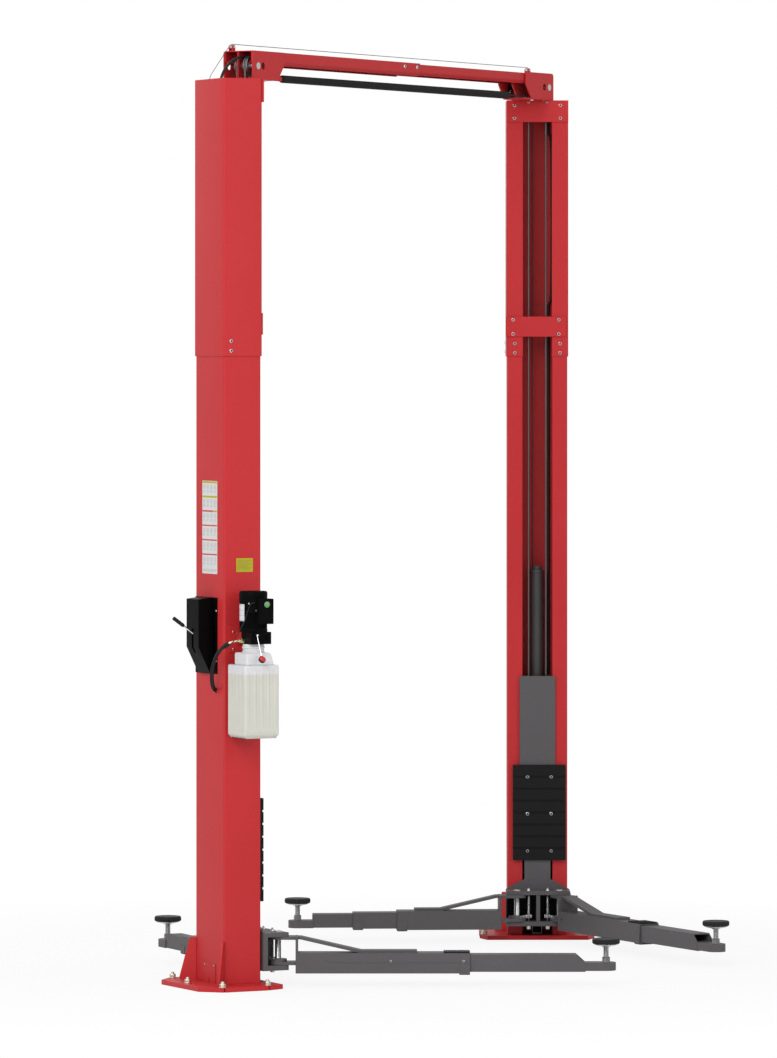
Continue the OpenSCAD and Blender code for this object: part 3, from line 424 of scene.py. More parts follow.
guard_rubber = rubber("guard_rubber", "guard_rubber", (0.0050, 0.0050, 0.0053), 0.55, 240.0, 0.0005, 0.15)
pad_rubber = rubber("pad_rubber", "guard_rubber", (0.0075, 0.0080, 0.0080), 0.50, 300.0, 0.0004)
hose_rubber = rubber("hose_rubber", "hose_rubber", (0.0100, 0.0120, 0.0120), 0.42, 350.0, 0.0003)
bar_foam = rubber("bar_foam", "bar_foam", (0.0060, 0.0060, 0.0065), 0.72, 520.0, 0.0007)
motor_black = rubber("motor_enamel", "black_paint", (0.0012, 0.0012, 0.0013), 0.42, 260.0, 0.0002, 0.03)

# %% [markdown]
# Buttons and knobs are moulded, and the notices are printed film. One flat colour looks dead up close, so each
# gets a slight drift of tone and a fine grain.

# %% Plastics and films


def plastic(name, slot, colour, roughness=0.35):
    """A moulded colour with a slight drift of tone and a fine moulding grain."""
    f = Finish(name, slot, Specular_IOR_Level=0.5)
    drift = f.noise(60.0, 2.0)
    deeper = tuple(c * 0.82 for c in colour)
    f.set("Base Color", f.mix(drift, deeper, colour))
    f.set("Roughness", (roughness + (drift - 0.5) * 0.1).clamp())
    f.bump(f.noise(900.0, 1.0), 0.15, 0.0002)
    return f


button_green = plastic("button_green", "black_paint", (0.10, 0.46, 0.07))
knob_red = plastic("knob_red", "lever_steel", (0.60, 0.020, 0.030), 0.25)
switch_blue = plastic("switch_blue", "black_paint", (0.10, 0.26, 0.62))
FILMS = {"white": ((0.76, 0.75, 0.75), 0.4), "grey": ((0.42, 0.42, 0.43), 0.4),
         "yellow": ((0.50, 0.45, 0.002), 0.6), "red": ((0.62, 0.06, 0.06), 0.4),
         "blue": ((0.28, 0.34, 0.62), 0.4), "pale": ((0.62, 0.62, 0.63), 0.4),
         "olive": ((0.30, 0.28, 0.03), 0.4)}
film = {name: plastic("film_" + name, "notice_film", *look) for name, look in FILMS.items()}

# %% [markdown]
# The oil tank is milky, and the oil inside it shows as a greyer lower part. A real liquid behind a scattering
# wall would be slow and noisy, so the colour simply changes at the oil's level.

# %% Tank plastic
OIL_LEVEL, OIL_EDGE = 1.333, 0.004


def milky_plastic():
    """White above the oil level and greyer below it, where a cloudy noise varies the grey."""
    f = Finish("milky_plastic", "tank_plastic", Specular_IOR_Level=0.45, Subsurface_Weight=0.1)
    f.set("Subsurface Scale", 0.005)
    height = f.axis("Z")
    wet = 1.0 - height.step(OIL_LEVEL - OIL_EDGE, OIL_LEVEL + OIL_EDGE)
    cloud = f.noise(14.0, 3.0)
    below = f.mix(cloud, (0.60, 0.60, 0.53), (0.66, 0.66, 0.60))
    f.set("Base Color", f.mix(wet, (0.72, 0.72, 0.74), below))
    f.set("Roughness", (0.34 + (cloud - 0.5) * 0.12).clamp())
    f.bump(f.noise(260.0, 2.0), 0.12, 0.0004)
    return f


tank_plastic = milky_plastic()

# %% [markdown]
# One function makes every new object. It brings the points into the shared frame, merges what coincides,
# turns the faces outwards, marks the sharp edges, and rounds them with a Bevel modifier if a width is given.

# %% Objects
EDGE_ANGLE = math.radians(32)


def reworked(mesh, work):
    """Runs a function on the mesh's editable form."""
    bm = bmesh.new()
    bm.from_mesh(mesh)
    work(bm)
    bm.to_mesh(mesh)
    bm.free()


def shaded(bm):
    """Smooth faces, with sharp edges where the surface turns by more than the edge angle."""
    for face in bm.faces:
        face.smooth = True
    for edge in bm.edges:
        edge.smooth = len(edge.link_faces) == 2 and edge.calc_face_angle() < EDGE_ANGLE


def dressed(name, mesh, finish, body, bevel):
    """An object in its finish that rides on a body, with its sharp edges rounded bevel mm wide."""
    obj = linked(name, mesh)
    mesh.materials.clear()
    mesh.materials.append(finish.material)
    reworked(mesh, shaded)
    if bevel:
        cut = obj.modifiers.new("rounded_edges", "BEVEL")
        cut.width = bevel * MM
        cut.segments = 2
        cut.limit_method = "ANGLE"
        cut.angle_limit = EDGE_ANGLE
        cut.harden_normals = True
        cut.use_clamp_overlap = True
    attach(obj, body)
    return obj


def piece(name, shapes, finish, body, place=in_bay, bevel=0.0):
    """One object from a shape or a list of shapes, in its finish, riding on a body."""
    points, faces = joined(shapes) if isinstance(shapes, list) else shapes
    mesh = bpy.data.meshes.new(name)
    mesh.from_pydata((place(points) * MM).tolist(), [], faces)

    def closed(bm):
        bmesh.ops.remove_doubles(bm, verts=bm.verts, dist=1e-6)
        bmesh.ops.recalc_face_normals(bm, faces=bm.faces)

    reworked(mesh, closed)
    return dressed(name, mesh, finish, body, bevel)


def on_unit(name, shapes, finish, bevel=0.0):
    """A piece that is fixed to the left post, in that post's directions."""
    return piece(name, shapes, finish, "frame", on_left, bevel)


# %% [markdown]
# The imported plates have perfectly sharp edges, and real ones never do. A copy of each is welded into closed
# surfaces, its flat triangles are joined, and its edges are rounded, so that they catch a line of light.

# %% Painted steelwork


def painted(node, finish, bevel):
    """A rounded copy of a node in its finish, which stands for the node."""
    source = nodes[node]
    mesh = source.data.copy()
    mesh.name = node + "_painted"

    def flattened(bm):
        bmesh.ops.remove_doubles(bm, verts=bm.verts, dist=2e-6)
        bmesh.ops.dissolve_limit(bm, angle_limit=math.radians(0.6), verts=bm.verts, edges=bm.edges)

    reworked(mesh, flattened)
    obj = dressed(node + "_painted", mesh, finish, source["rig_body"], bevel)
    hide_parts(node)


PLATES = {"red_paint": (red_coat, 1.2), "grey_paint": (grey_coat, 1.2), "black_paint": (black_coat, 1.5),
          "cylinder_paint": (cylinder_coat, 0.8), "cast_sheave": (cast_steel, 0.8)}
REBUILT = {"motor", "switch_box", "limit_switch"}
slot_of = {row["node"]: row["material_slot"] for row in frame["record"]["subparts"]}
for node, slot in slot_of.items():
    if slot in PLATES and node not in REBUILT:
        painted(node, *PLATES[slot])

# %% [markdown]
# The sheave pins, the piston rods and the rubber guards have the right shape already. They stay as packed,
# and only the material in their own slot changes.

# %% Carried over
CARRIED = {"zinc_plate": zinc, "guard_rubber": guard_rubber}
for node, slot in slot_of.items():
    if slot in CARRIED:
        mesh = nodes[node].data
        if not mesh.materials:
            mesh.materials.append(None)
        for index in range(len(mesh.materials)):
            mesh.materials[index] = CARRIED[slot].material

# %% [markdown]
# Screws, nuts and studs are turned parts whose rows may turn from a circle into a hexagon. The heads that
# hold the plates are round with a hexagon socket, and the anchors have a washer, a nut and a threaded stud.

# %% Fasteners


def scaled(rows, size):
    """Profile rows made larger or smaller, with their hexagon marks kept."""
    return [(r[0] * size, r[1] * size) + tuple(r[2:]) for r in rows]


def screws(name, rows, body, place=in_bay):
    """Round heads on washers, from rows of (place, direction, size). A dark block in each hexagon socket is
    painted shade.
    """
    head = [(0, 0), (8.8, 0), (8.8, 1.2), (8.0, 1.5), (7.8, 3.4), (7.2, 5.0), (6.3, 5.7), (5.2, 5.7),
            (5.1, 2.2, 1), (0, 2.2)]
    # The dark block at the bottom of each socket is painted shade, standing for the shade inside the recess.
    socket = [(0, 2.0), (5.0, 2.0, 1), (5.0, 3.8, 1), (0, 3.8)]
    heads = [turned(scaled(head, size), at, axis, 24) for at, axis, size in rows]
    sockets = [turned(scaled(socket, size), at, axis, 24) for at, axis, size in rows]
    piece(name, heads, zinc, body, place)
    piece(name + "_sockets", sockets, dark_oxide_and_socket_shade, body, place)


def thread_rows(radius, low, high, pitch, depth):
    """Ridges along a thread: the radius drops by depth between turns."""
    z = np.arange(low, high, pitch / 2)
    dip = np.arange(len(z)) % 2 * depth
    return list(zip(radius - dip, z))


def anchor(at):
    """A stud that stands out of the floor, with its washer and nut."""
    stud = [(0, 8), (7.5, 8)] + thread_rows(8.0, 10, 43, 2.0, 0.8) + [(6.6, 44.5), (0, 44.5)]
    washer = [(0, 20), (15.5, 20), (15.5, 22.4), (14.6, 23), (0, 23)]
    nut = [(0, 22.8), (11.5, 22.8), (13.6, 24.2, 1), (13.6, 34.4, 1), (11.5, 36), (0, 36)]
    return [turned(rows, at, sides=24) for rows in (stud, washer, nut)]


def facing(u, vs, zs, size):
    """Rows of screws in a face square to u, which point away from the middle of the post."""
    way = (1, 0, 0) if u > 0 else (-1, 0, 0)
    return [((u, v, z), way, size) for v in vs for z in zs]


# %% [markdown]
# The same screws and anchors sit on both posts. Their rows are worked out once, in a post's directions, and
# the place of each post mirrors them, so that both sides always agree.

# %% Screws and anchors
ANCHORS = [(65, 243), (65, -243), (-145, 243), (-145, -243), (-190, 0)]
FRONT, OVER_FRONT, SIDE, BACK = 91.5, 99.5, 141.5, 87.25
post_screws = facing(OVER_FRONT, (-105, 105), (3817, 3758), 0.82)
post_screws += facing(OVER_FRONT, (-41, 43), (3832,), 0.62)
post_screws += facing(OVER_FRONT, (-112, 98), (2835, 2770), 0.82)
post_screws += facing(FRONT, (-103.5, 103.5), (2726, 2684), 0.82)
post_screws += [((-56, s * SIDE, z), (0, s, 0), 0.9) for s in (-1, 1) for z in (2731, 2690)]
post_screws += facing(-BACK - 2, (-44, 44), (92,), 0.45)
for side, post in POSTS.items():
    anchors = [shape for u, v in ANCHORS for shape in anchor((u, v, 0))]
    piece(f"{side}_anchors", anchors, anchor_zinc, "frame", post)
    screws(f"{side}_post_screws", post_screws, "frame", post)
BEAM_FACE = -98.7
beam_screws = [((x, BEAM_FACE, 3944), (0, -1, 0), 1.0) for x in (1291, 1398)]
foot_screws = [((x, -72, 3840), (0, 0, -1), 0.9) for x in (172, 2468)]
screws("beam_screws", beam_screws + foot_screws, "frame")
print("screw heads", 2 * len(post_screws))

# %% [markdown]
# Each arm has directions of its own: x runs from its pin to its pad. One function turns them into the post's
# directions, so everything on an arm is built as if the arm lay straight, and swings with its angle.

# %% Arm places
LONG_ANGLE, SHORT_ANGLE = math.radians(27.5), math.radians(-87)
LONG_REACH, SHORT_REACH = 1390.0, 1003.0
PIVOT_U, PIVOT_V = 187.5, 96.0


def along_arm(angle, v, post):
    """A place that turns an arm's own directions into the post's, then into the shared frame."""
    c, s = math.cos(angle), math.sin(angle)

    def place(p):
        q = np.stack([p[:, 0] * c - p[:, 1] * s + PIVOT_U, p[:, 0] * s + p[:, 1] * c + v, p[:, 2]], axis=1)
        return post(q)

    return place


ARMS = {}
for side, post in POSTS.items():
    ARMS[f"near_{side}"] = (along_arm(LONG_ANGLE, PIVOT_V, post), LONG_REACH)
    ARMS[f"far_{side}"] = (along_arm(SHORT_ANGLE, -PIVOT_V, post), SHORT_REACH)
print("arms", list(ARMS))

# %% [markdown]
# Each lifting pad is a rubber disc on a steel dish, and its screw turns in the arm's end block. The disc's
# edge swells in the middle and carries fine upright ribs, and the screw's thread is a true helix.

# %% Lifting pads
PAD_TOP, PAD_LOW, PAD_R = 200.0, 178.0, 59.0
BULGE, RIB, RIBS = 3.5, 0.7, 48
THREAD_PITCH, THREAD_CREST, THREAD_DEPTH = 4.0, 11.9, 1.5


def pad_disc(x):
    """r = R - 0.8 - bulge h^4 + rib cos(48 t) (1 - h^4), where h runs from -1 to 1 up the edge."""
    h = np.linspace(-1, 1, 15)[:, None]
    t = np.linspace(0, 2 * np.pi, 288, endpoint=False)[None, :]
    r = PAD_R - 0.8 - BULGE * h**4 + RIB * np.cos(RIBS * t) * (1 - h**4)
    z = (PAD_TOP + PAD_LOW) / 2 + h * (PAD_TOP - PAD_LOW) / 2 + 0 * t
    edge = np.stack([x + r * np.cos(t), r * np.sin(t), z], axis=-1)
    inner = np.stack([x + 0.85 * r[-1] * np.cos(t[0]), 0.85 * r[-1] * np.sin(t[0]), z[-1] - 1.2], axis=-1)
    rim = np.stack([x + 0.91 * r[-1] * np.cos(t[0]), 0.91 * r[-1] * np.sin(t[0]), z[-1]], axis=-1)
    return skin(np.concatenate([edge, rim[None], inner[None]]))


def pad_screw(x):
    """r = crest - depth |2 p - 1|, where p is the part of a turn in height / pitch - angle."""
    z = np.arange(67.0, 166.0, 0.7)[:, None]
    t = np.linspace(0, 2 * np.pi, 24, endpoint=False)[None, :]
    phase = (z / THREAD_PITCH - t / (2 * np.pi)) % 1.0
    r = THREAD_CREST - THREAD_DEPTH * np.abs(2 * phase - 1)
    return skin(np.stack([x + r * np.cos(t), r * np.sin(t), z + 0 * t], axis=-1))


DISH = [(0, 163.5), (15, 163.5), (17, 164.5), (19, 167), (44, 172.5), (50, 175), (50.5, 176.2),
        (50, PAD_LOW), (0, PAD_LOW)]
COLLAR = [(12.2, 100.2)] + thread_rows(17.2, 101, 121, 2.4, 0.8) + [(12.2, 122)]
for arm, (place, reach) in ARMS.items():
    body = arm + "_pad"
    disc = piece(arm + "_pad_rubber", pad_disc(reach), pad_rubber, body, place)
    piece(arm + "_pad_dish", turned(DISH, (reach, 0, 0), sides=64), zinc, body, place)
    piece(arm + "_pad_screw", pad_screw(reach), screw_steel, body, place)
    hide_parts(body)
    piece(arm + "_tip_collar", turned(COLLAR, (reach, 0, 0)), screw_steel, arm + "_extension", place)
print("pads", len(ARMS))

# %% [markdown]
# The outer tube of each arm ends in a strap that goes under it, and the long arms have a ribbed rubber strip
# on top, a raised seam with two screws on one side and a small hole on the other. The hole is drawn as a thin
# dark disc on the tube, which is painted shade.

# %% Arm fittings


def strap(x0, x1, half, low, high, wall, drop):
    """A U of plate round the lower part of a tube, with its lower corners cut."""
    w, d = half + wall, low - drop
    outline = [(-w, high), (-w, d + 5), (-w + 5, d), (w - 5, d), (w, d + 5), (w, high), (half, high),
               (half, low), (-half, low), (-half, high)]
    return extruded(outline, x0, x1, "x")


def ribbed_strip(x0, x1, half, low, top, ribs):
    """A rubber strip whose top swells and falls as a sine along its length."""
    x = np.linspace(x0, x1, ribs * 8 + 1)
    z = top - 0.9 + 0.9 * np.sin((x - x0) / (x1 - x0) * ribs * 2 * np.pi)
    outline = np.vstack([np.stack([x, z], axis=1), [[x1, low], [x0, low]]])
    return extruded(outline, -half, half, "y")


TUBE_HALF, MIDDLE_HALF = 50, 43
NEAR_END, FAR_END, MIDDLE_END, STRAP = 813, 550, 751, 45
SEAM_Z, SCREW_Z = 101.5, 108
SEAM = [(200, TUBE_HALF, 112), (230, TUBE_HALF, 104), (300, TUBE_HALF, SEAM_Z), (760, TUBE_HALF, SEAM_Z),
        (772, TUBE_HALF, 104)]
SIDE_SHADE_DISC = [(0, 0), (5, 0), (5, 0.4), (0, 0.4)]
for side in POSTS:
    arm = f"near_{side}"
    body, place = arm + "_arm", ARMS[arm][0]
    fittings = [strap(NEAR_END - STRAP, NEAR_END, TUBE_HALF, 56, 97, 2, 6), along(SEAM, 1.3, 8)]
    piece(arm + "_strap", fittings, grey_coat, body, place, 0.8)
    piece(arm + "_rubber_strip", ribbed_strip(702, NEAR_END, 44, 142, 148, 12), guard_rubber, body, place)
    side_rows = [((x, TUBE_HALF, SCREW_Z), (0, 1, 0), 0.62) for x in (478, 786)]
    screws(arm + "_side_screws", side_rows, body, place)
    # A thin dark disc stands for the hole: it is painted shade, not an opening.
    side_shade_disc = turned(SIDE_SHADE_DISC, (112, -TUBE_HALF, SCREW_Z), (0, -1, 0), 20)
    piece(arm + "_side_hole", side_shade_disc, guard_rubber, body, place)
    arm = f"far_{side}"
    place = ARMS[arm][0]
    outer = strap(FAR_END - STRAP, FAR_END, TUBE_HALF, 56, 97, 2, 6)
    piece(arm + "_strap", outer, grey_coat, arm + "_arm", place, 0.8)
    inner = strap(MIDDLE_END - STRAP, MIDDLE_END, MIDDLE_HALF, 62.3, 97, 1.8, 6)
    piece(arm + "_middle_strap", inner, grey_coat, arm + "_middle", place, 0.8)

# %% [markdown]
# The yoke holds the arm pins. Bright sleeves sit on them, and beside each runs a thinner rod with a toothed
# wheel, pressed down by a coil spring, that meshes with the toothed sector on the arm's root.

# %% Yoke


def gear(at, outer, inner, low, high, teeth, start=-180.0, end=180.0):
    """A toothed ring: the rim steps between two radii as a squared-off cosine of the angle.

    The teeth run from the start angle to the end angle, in degrees, and elsewhere the ring is narrow."""
    t = np.linspace(0, 2 * np.pi, teeth * 8, endpoint=False)
    wave = np.clip(np.cos(teeth * t) * 1.8, -1, 1)
    turn = (np.degrees(t) - start) % 360.0
    rim = np.where(turn <= end - start, outer - 1.2 + 1.2 * wave, inner + 4.0)
    rows = [(inner + 0 * t, low), (rim - 0.6, low), (rim, low + 0.8), (rim, high - 0.8), (rim - 0.6, high),
            (inner + 0 * t, high), (inner + 0 * t, low)]
    grid = [np.stack([at[0] + r * np.cos(t), at[1] + r * np.sin(t), z + 0 * t], axis=-1) for r, z in rows]
    return skin(np.stack(grid), caps=False)


def coil(at, radius, wire, low, high, turns):
    """A helix: height rises evenly with the angle."""
    t = np.linspace(0, turns * 2 * np.pi, turns * 14 + 1)
    x, y = at[0] + radius * np.cos(t), at[1] + radius * np.sin(t)
    return along(np.stack([x, y, low + (high - low) * t / t[-1]], axis=1), wire, 6)


RING_LOW, RING_HIGH = 103.6, 115.8
ROD_V = 43.0
PIN_SLEEVE = [(12.6, 117.0)] + thread_rows(13.6, 118, 195, 3.0, 0.7) + [(12.6, 197.0)]
PIN_CAP = [(0, 229.1), (18, 229.1), (18, 231.2), (14, 231.4), (14, 234), (12, 235), (0, 235)]
ROD_CAP = [(0, 229.1), (8, 229.1), (7, 232), (5.2, 234), (4.6, 239), (1.5, 242), (0, 242)]
ROD_BASE = [(0, 52.8), (7.4, 52.8), (9, 54.4), (9, 67.5), (7.8, 69), (0, 69)]
for side, post in POSTS.items():
    body = side + "_carriage"
    bright = []
    for s in (-1, 1):
        pin, rod = (PIVOT_U, s * PIVOT_V, 0), (PIVOT_U, s * ROD_V, 0)
        bright += [turned(PIN_SLEEVE, pin), turned(PIN_CAP, pin), turned(ROD_CAP, rod), turned(ROD_BASE, rod)]
        bright += [gear(rod, 14.2, 4.5, 104.4, 118.4, 14), coil(rod, 6.4, 1.1, 119, 210, 20)]
    piece(side + "_pin_sleeves", bright, zinc, body, post)
    # Thin black sheets in front of the yoke's back plate are painted shade: they darken the back of the yoke
    # between its plates, where little light reaches.
    painted_shade_sheets = [block((106.05, v0, 90.5), (107.4, v1, 210.5)) for v0, v1 in ((-139, -9), (9, 139))]
    piece(side + "_yoke_liner", painted_shade_sheets, black_coat, body, post)
    foot = block((-22.4, -22.4, 20), (22.4, 22.4, 80.4))
    piece(side + "_rod_foot", foot, black_coat, "frame", post, 2.0)
TOOTHED = {"near": (-205.0, -68.0), "far": (106.0, 206.0)}
for arm, (place, reach) in ARMS.items():
    sector = gear((0, 0), 38.5, 14.4, RING_LOW, RING_HIGH, 40, *TOOTHED[arm.split("_")[0]])
    piece(arm + "_toothed_sector", sector, zinc, arm + "_arm", place)

# %% [markdown]
# The rubber guards are screwed to the carriages, so that a car door doesn't hit steel. Their plates are
# grooved already and need only the screw heads, which sit at the bottom of the grooves.

# %% Guard screws
GUARD_FACE = 111.0
GROOVE = 5.0
GUARD_ROWS = (743, 573.5, 404)
for side, post in POSTS.items():
    shift = 8.0 if side == "right" else -8.0
    rows = facing(GUARD_FACE - GROOVE, (-54 + shift, 54 + shift), GUARD_ROWS, 0.95)
    screws(side + "_guard_screws", rows, side + "_carriage", post)

# %% [markdown]
# The power unit hangs on the front of the left post. The motor is a finned barrel under a fan cowl, with a
# blank white plate, and it stands on the pump block. The fins are one skin whose radius follows a formula,
# which is lighter than forty ribs.

# %% Motor
UNIT_U, UNIT_V, MOTOR_R = 2.0, 236.0, 59.5
UNIT = (UNIT_U, UNIT_V, 0)


def finned(low, high, radius, depth, fins):
    """A barrel whose radius rises at each fin as the fourth power of a cosine."""
    z = np.array([low, low + 2, high - 2, high])[:, None]
    t = np.linspace(0, 2 * np.pi, fins * 8, endpoint=False)[None, :]
    r = radius + depth * np.abs(np.cos(fins * t / 2)) ** 4 + 0 * z
    return skin(np.stack([UNIT_U + r * np.cos(t), UNIT_V + r * np.sin(t), z + 0 * t], axis=-1))


def curved_plate(a0, a1, low, high, radius, thick):
    """A thin plate bent round the motor between two angles, in degrees."""
    a = np.radians(np.linspace(a0, a1, 16))
    inner = np.stack([UNIT_U + radius * np.cos(a), UNIT_V + radius * np.sin(a)], axis=1)
    r = radius + thick
    outer = np.stack([UNIT_U + r * np.cos(a), UNIT_V + r * np.sin(a)], axis=1)
    return extruded(np.vstack([inner, outer[::-1]]), low, high)


cowl = [(0, 1636), (57.5, 1636), (59.4, 1638), (59.4, 1651), (58.4, 1652), (58.4, 1653.5), (59.4, 1654.5),
        (59.4, 1672), (58, 1677), (54, 1680)]
for r in (48, 34, 20):
    cowl += [(r, 1680), (r - 1, 1677.5), (r - 5, 1677.5), (r - 6, 1680)]
cowl += [(0, 1680)]
flange = [(0, 1509.2), (58, 1509.2), (59.4, 1510.5), (59.4, 1521), (58, 1523), (55.5, 1527), (0, 1527)]
fins = finned(1524, 1640, 54.8, 3.4, 40)
ends = [turned(rows, UNIT, sides=72) for rows in (cowl, flange)]
barrel = on_unit("motor_barrel", [fins, *ends], motor_black)
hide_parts("motor")
on_unit("motor_terminal_plate", curved_plate(92, 146, 1588, 1640, 57.4, 2.2), motor_black, 0.6)


def on_motor(angle, z):
    """A point on the motor's wall and the direction that points out of it."""
    a = math.radians(angle)
    way = (math.cos(a), math.sin(a), 0)
    return (UNIT_U + MOTOR_R * way[0], UNIT_V + MOTOR_R * way[1], z), way


screws("motor_screws", [(*on_motor(134.5, 1628), 0.42), (*on_motor(104, 1600), 0.36)], "frame", on_left)
on_unit("motor_plate", curved_plate(156, 198, 1555, 1626, 58.3, 0.7), film["white"])
lines = [curved_plate(157, 197, z, z + 1.2, 59.0, 0.25) for z in (1557, 1578, 1600, 1623)]
lines += [curved_plate(a, a + 1.0, 1557, 1624, 59.0, 0.25) for a in (157, 196)]
on_unit("motor_plate_lines", lines, film["blue"])

# %% [markdown]
# The switch box is a case and a lid with a dark gasket between them, and a green button in a bright bezel. The
# gap is real, with a narrower block inside, because a painted line would vanish from the side.

# %% Switch box
BOX_LOW, BOX_HIGH = (-12.0, 295.7, 1544.0), (48.0, 335.7, 1650.0)
case = block(BOX_LOW, (BOX_HIGH[0], 323.0, BOX_HIGH[2]))
lid = block((BOX_LOW[0], 323.6, BOX_LOW[2]), BOX_HIGH)
gasket = block((BOX_LOW[0] + 1.5, 322, BOX_LOW[2] + 1.5), (BOX_HIGH[0] - 1.5, 325, BOX_HIGH[2] - 1.5))
switch_case = on_unit("switch_case", [case, lid, gasket], motor_black, 1.8)
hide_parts("switch_box")
BUTTON = (17.0, BOX_HIGH[1], 1626.0)
bezel = [(0, 0), (13, 0), (13, 1.5), (12, 3), (11, 3.2), (10.4, 2.2), (0, 2.2)]
dome = [(0, 2), (9.8, 2), (9.6, 4), (8.4, 5.6), (5, 6.6), (0, 7)]
on_unit("button_bezel", turned(bezel, BUTTON, (0, 1, 0)), screw_steel)
on_unit("button", turned(dome, BUTTON, (0, 1, 0)), button_green)
lid_heads = [turned([(0, 0), (3.2, 0), (2.8, 1.4), (0, 1.9)], (u, BOX_HIGH[1], z), (0, 1, 0), 20)
             for u in (-7, 43) for z in (1549, 1645)]
on_unit("switch_case_screws", lid_heads, motor_black)

# %% [markdown]
# The pump block carries hexagon plugs, the brass elbow of the pressure hose and the lowering valve. Four
# screws hold the unit's plate on the post. A plug is one turned part, round at its seat and six-sided above.

# %% Pump block
PUMP_FRONT, PUMP_SIDE = 295.5, -37.0


def plug(at, axis, size):
    """A hexagon plug on a round seat."""
    rows = [(0, 0), (11, 0), (11, 2), (9.2, 2.2), (9.2, 2.4, 1), (9.2, 8, 1), (8, 9), (5, 9),
            (4.8, 6, 1), (0, 6)]
    return turned(scaled(rows, size), at, axis, 24)


plugs = [plug((38, PUMP_FRONT, 1484), (0, 1, 0), 1.0), plug((12, PUMP_FRONT, 1472), (0, 1, 0), 0.7),
         plug((57, 262, 1482), (1, 0, 0), 1.1), plug((57, 222, 1482), (1, 0, 0), 0.8)]
on_unit("pump_plugs", plugs, black_coat)
elbow = [(0, 0), (9, 0), (9, 2), (11.5, 2.5, 1), (11.5, 13, 1), (9, 14), (8.4, 14), (8.4, 22),
         (7.4, 24), (0, 24)]
on_unit("hose_elbow", turned(elbow, (PUMP_SIDE, 226, 1471), (-1, 0, 0), 24), brass)
mount_rows = [((u, 143.2, z), (0, 1, 0), 0.58) for u in (-46, 46) for z in (1505, 1433)]
screws("pump_mount_screws", mount_rows, "frame", on_left)

# %% [markdown]
# The oil tank is blow moulded. Its wall is one skin of points: a rounded rectangle whose four faces have
# four shallow flutes each, with small raised lugs under them, and whose foot and top draw in.

# %% Oil tank
TANK_U, TANK_V = 80.5, 84.0
TANK_LOW, TANK_TOP = 1063.0, 1371.0
SHOULDER_TOP = 1423.0


def step(x, low, high):
    """A smooth rise from 0 to 1 between low and high."""
    t = np.clip((x - low) / (high - low), 0, 1)
    return t * t * (3 - 2 * t)


def tank_wall():
    """Each face is a line from -1 to 1, joined by quarter circles. Flutes push the wall in where they are."""
    corner, count = 9.0, 97
    along_face = np.linspace(-1, 1, count)
    flat = np.ones(count)
    parts = []
    for k in range(4):
        c, s = (1, 0, -1, 0)[k], (0, 1, 0, -1)[k]
        half, other = (TANK_U, TANK_V) if k % 2 == 0 else (TANK_V, TANK_U)
        w = along_face * (other - corner)
        f = (along_face * 0.5 + 0.5) * 4.6 - 0.3
        inside = ((f > 0) & (f < 4)) * np.clip(np.sin(np.pi * (f % 1.0)) * 5.0 - 1.6, 0, 1)
        parts.append((c * half - s * w, s * half + c * w, c * flat, s * flat, inside))
        a = np.linspace(0, np.pi / 2, 8)[1:-1]
        cx, cy = c * (half - corner) - s * (other - corner), s * (half - corner) + c * (other - corner)
        ax, ay = c * np.cos(a) - s * np.sin(a), s * np.cos(a) + c * np.sin(a)
        parts.append((cx + corner * ax, cy + corner * ay, ax, ay, 0 * a))
    xs, ys, nx, ny, inset = (np.concatenate(q) for q in zip(*parts))
    z = np.array([0, 1, 5, 14, 18, 24, 27, 29, 33, 35, 38, 44, 60, 120, 180, 240, 272, 278, 284, 290, 296, 302,
                  305, 307, 308], float)
    draw = np.interp(z, [0, 1, 14, 18, 296, 302, 305, 307, 308], [15, 13, 1, 0, 0, 0.4, 1.6, 3.6, 7])
    flute = step(z, 38, 60) * (1 - step(z, 279, 282)) * 1.6 * (0.55 + 0.45 * z / 280)
    lug = ((z > 26) & (z < 34)) * -1.0
    push = draw[:, None] + (flute + lug)[:, None] * inset[None, :]
    px = UNIT_U + xs[None] - nx[None] * push
    py = UNIT_V + ys[None] - ny[None] * push
    return skin(np.stack([px, py, (TANK_LOW + z)[:, None] + 0 * px], axis=-1))


wall = on_unit("tank_wall", tank_wall(), tank_plastic)
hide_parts("oil_tank")
top = TANK_TOP - 1.0
wedge = [(UNIT_U - TANK_U + 8.5, top), (UNIT_U + TANK_U - 20, top), (UNIT_U + TANK_U - 38, SHOULDER_TOP),
         (UNIT_U - TANK_U + 8.5, SHOULDER_TOP)]
shoulder = extruded(wedge, UNIT_V - TANK_V + 48, UNIT_V + TANK_V - 3, "y")
on_unit("tank_shoulder", shoulder, tank_plastic, 7.0)
neck = [(0, 1419), (47.6, 1419), (47.6, 1427), (45, 1429), (45, 1438), (47.6, 1440), (47.6, 1447), (45, 1449),
        (45, 1456), (44, 1457.8), (0, 1457.8)]
on_unit("tank_neck", turned(neck, UNIT, sides=64), tank_plastic)

# %% [markdown]
# A rigid pipe leaves the brass elbow on the pump, and from its crimp the pressure hose bends into the back of
# the post. Only the rubber part can bend.

# %% Pressure hose
HOSE_R = 7.5
PRESSURE = [(-37, 226, 1471), (-61, 226, 1471), (-80, 225, 1470), (-100, 218, 1463), (-117, 204, 1450),
            (-128, 182, 1430), (-133, 155, 1403), (-133, 132, 1372), (-131, 116, 1343), (-127, 104, 1316),
            (-120, 94, 1292), (-110, 84, 1272), (-100, 75, 1263), (-93, 69, 1259)]


def hose(path):
    """Turns a hose's path from the left post's directions into the shared frame, in metres."""
    line = on_left(path) * MM


pressure_path = smooth_path(PRESSURE, 6)
CRIMP_START, CRIMP_END = 20, 25
pressure = on_unit("pressure_hose_rubber", along(pressure_path[CRIMP_START:], HOSE_R), hose_rubber)
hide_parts("pressure_hose")
hose(pressure_path[CRIMP_START:])
on_unit("hose_pipe", along(pressure_path[6:CRIMP_START + 2], 4.4), pipe_zinc)
on_unit("hose_crimp", along(pressure_path[CRIMP_START - 1:CRIMP_END], 8.6), pad_rubber)

# %% [markdown]
# The switch's lead hangs in front of the motor, joins the hose and goes into the post beside it.

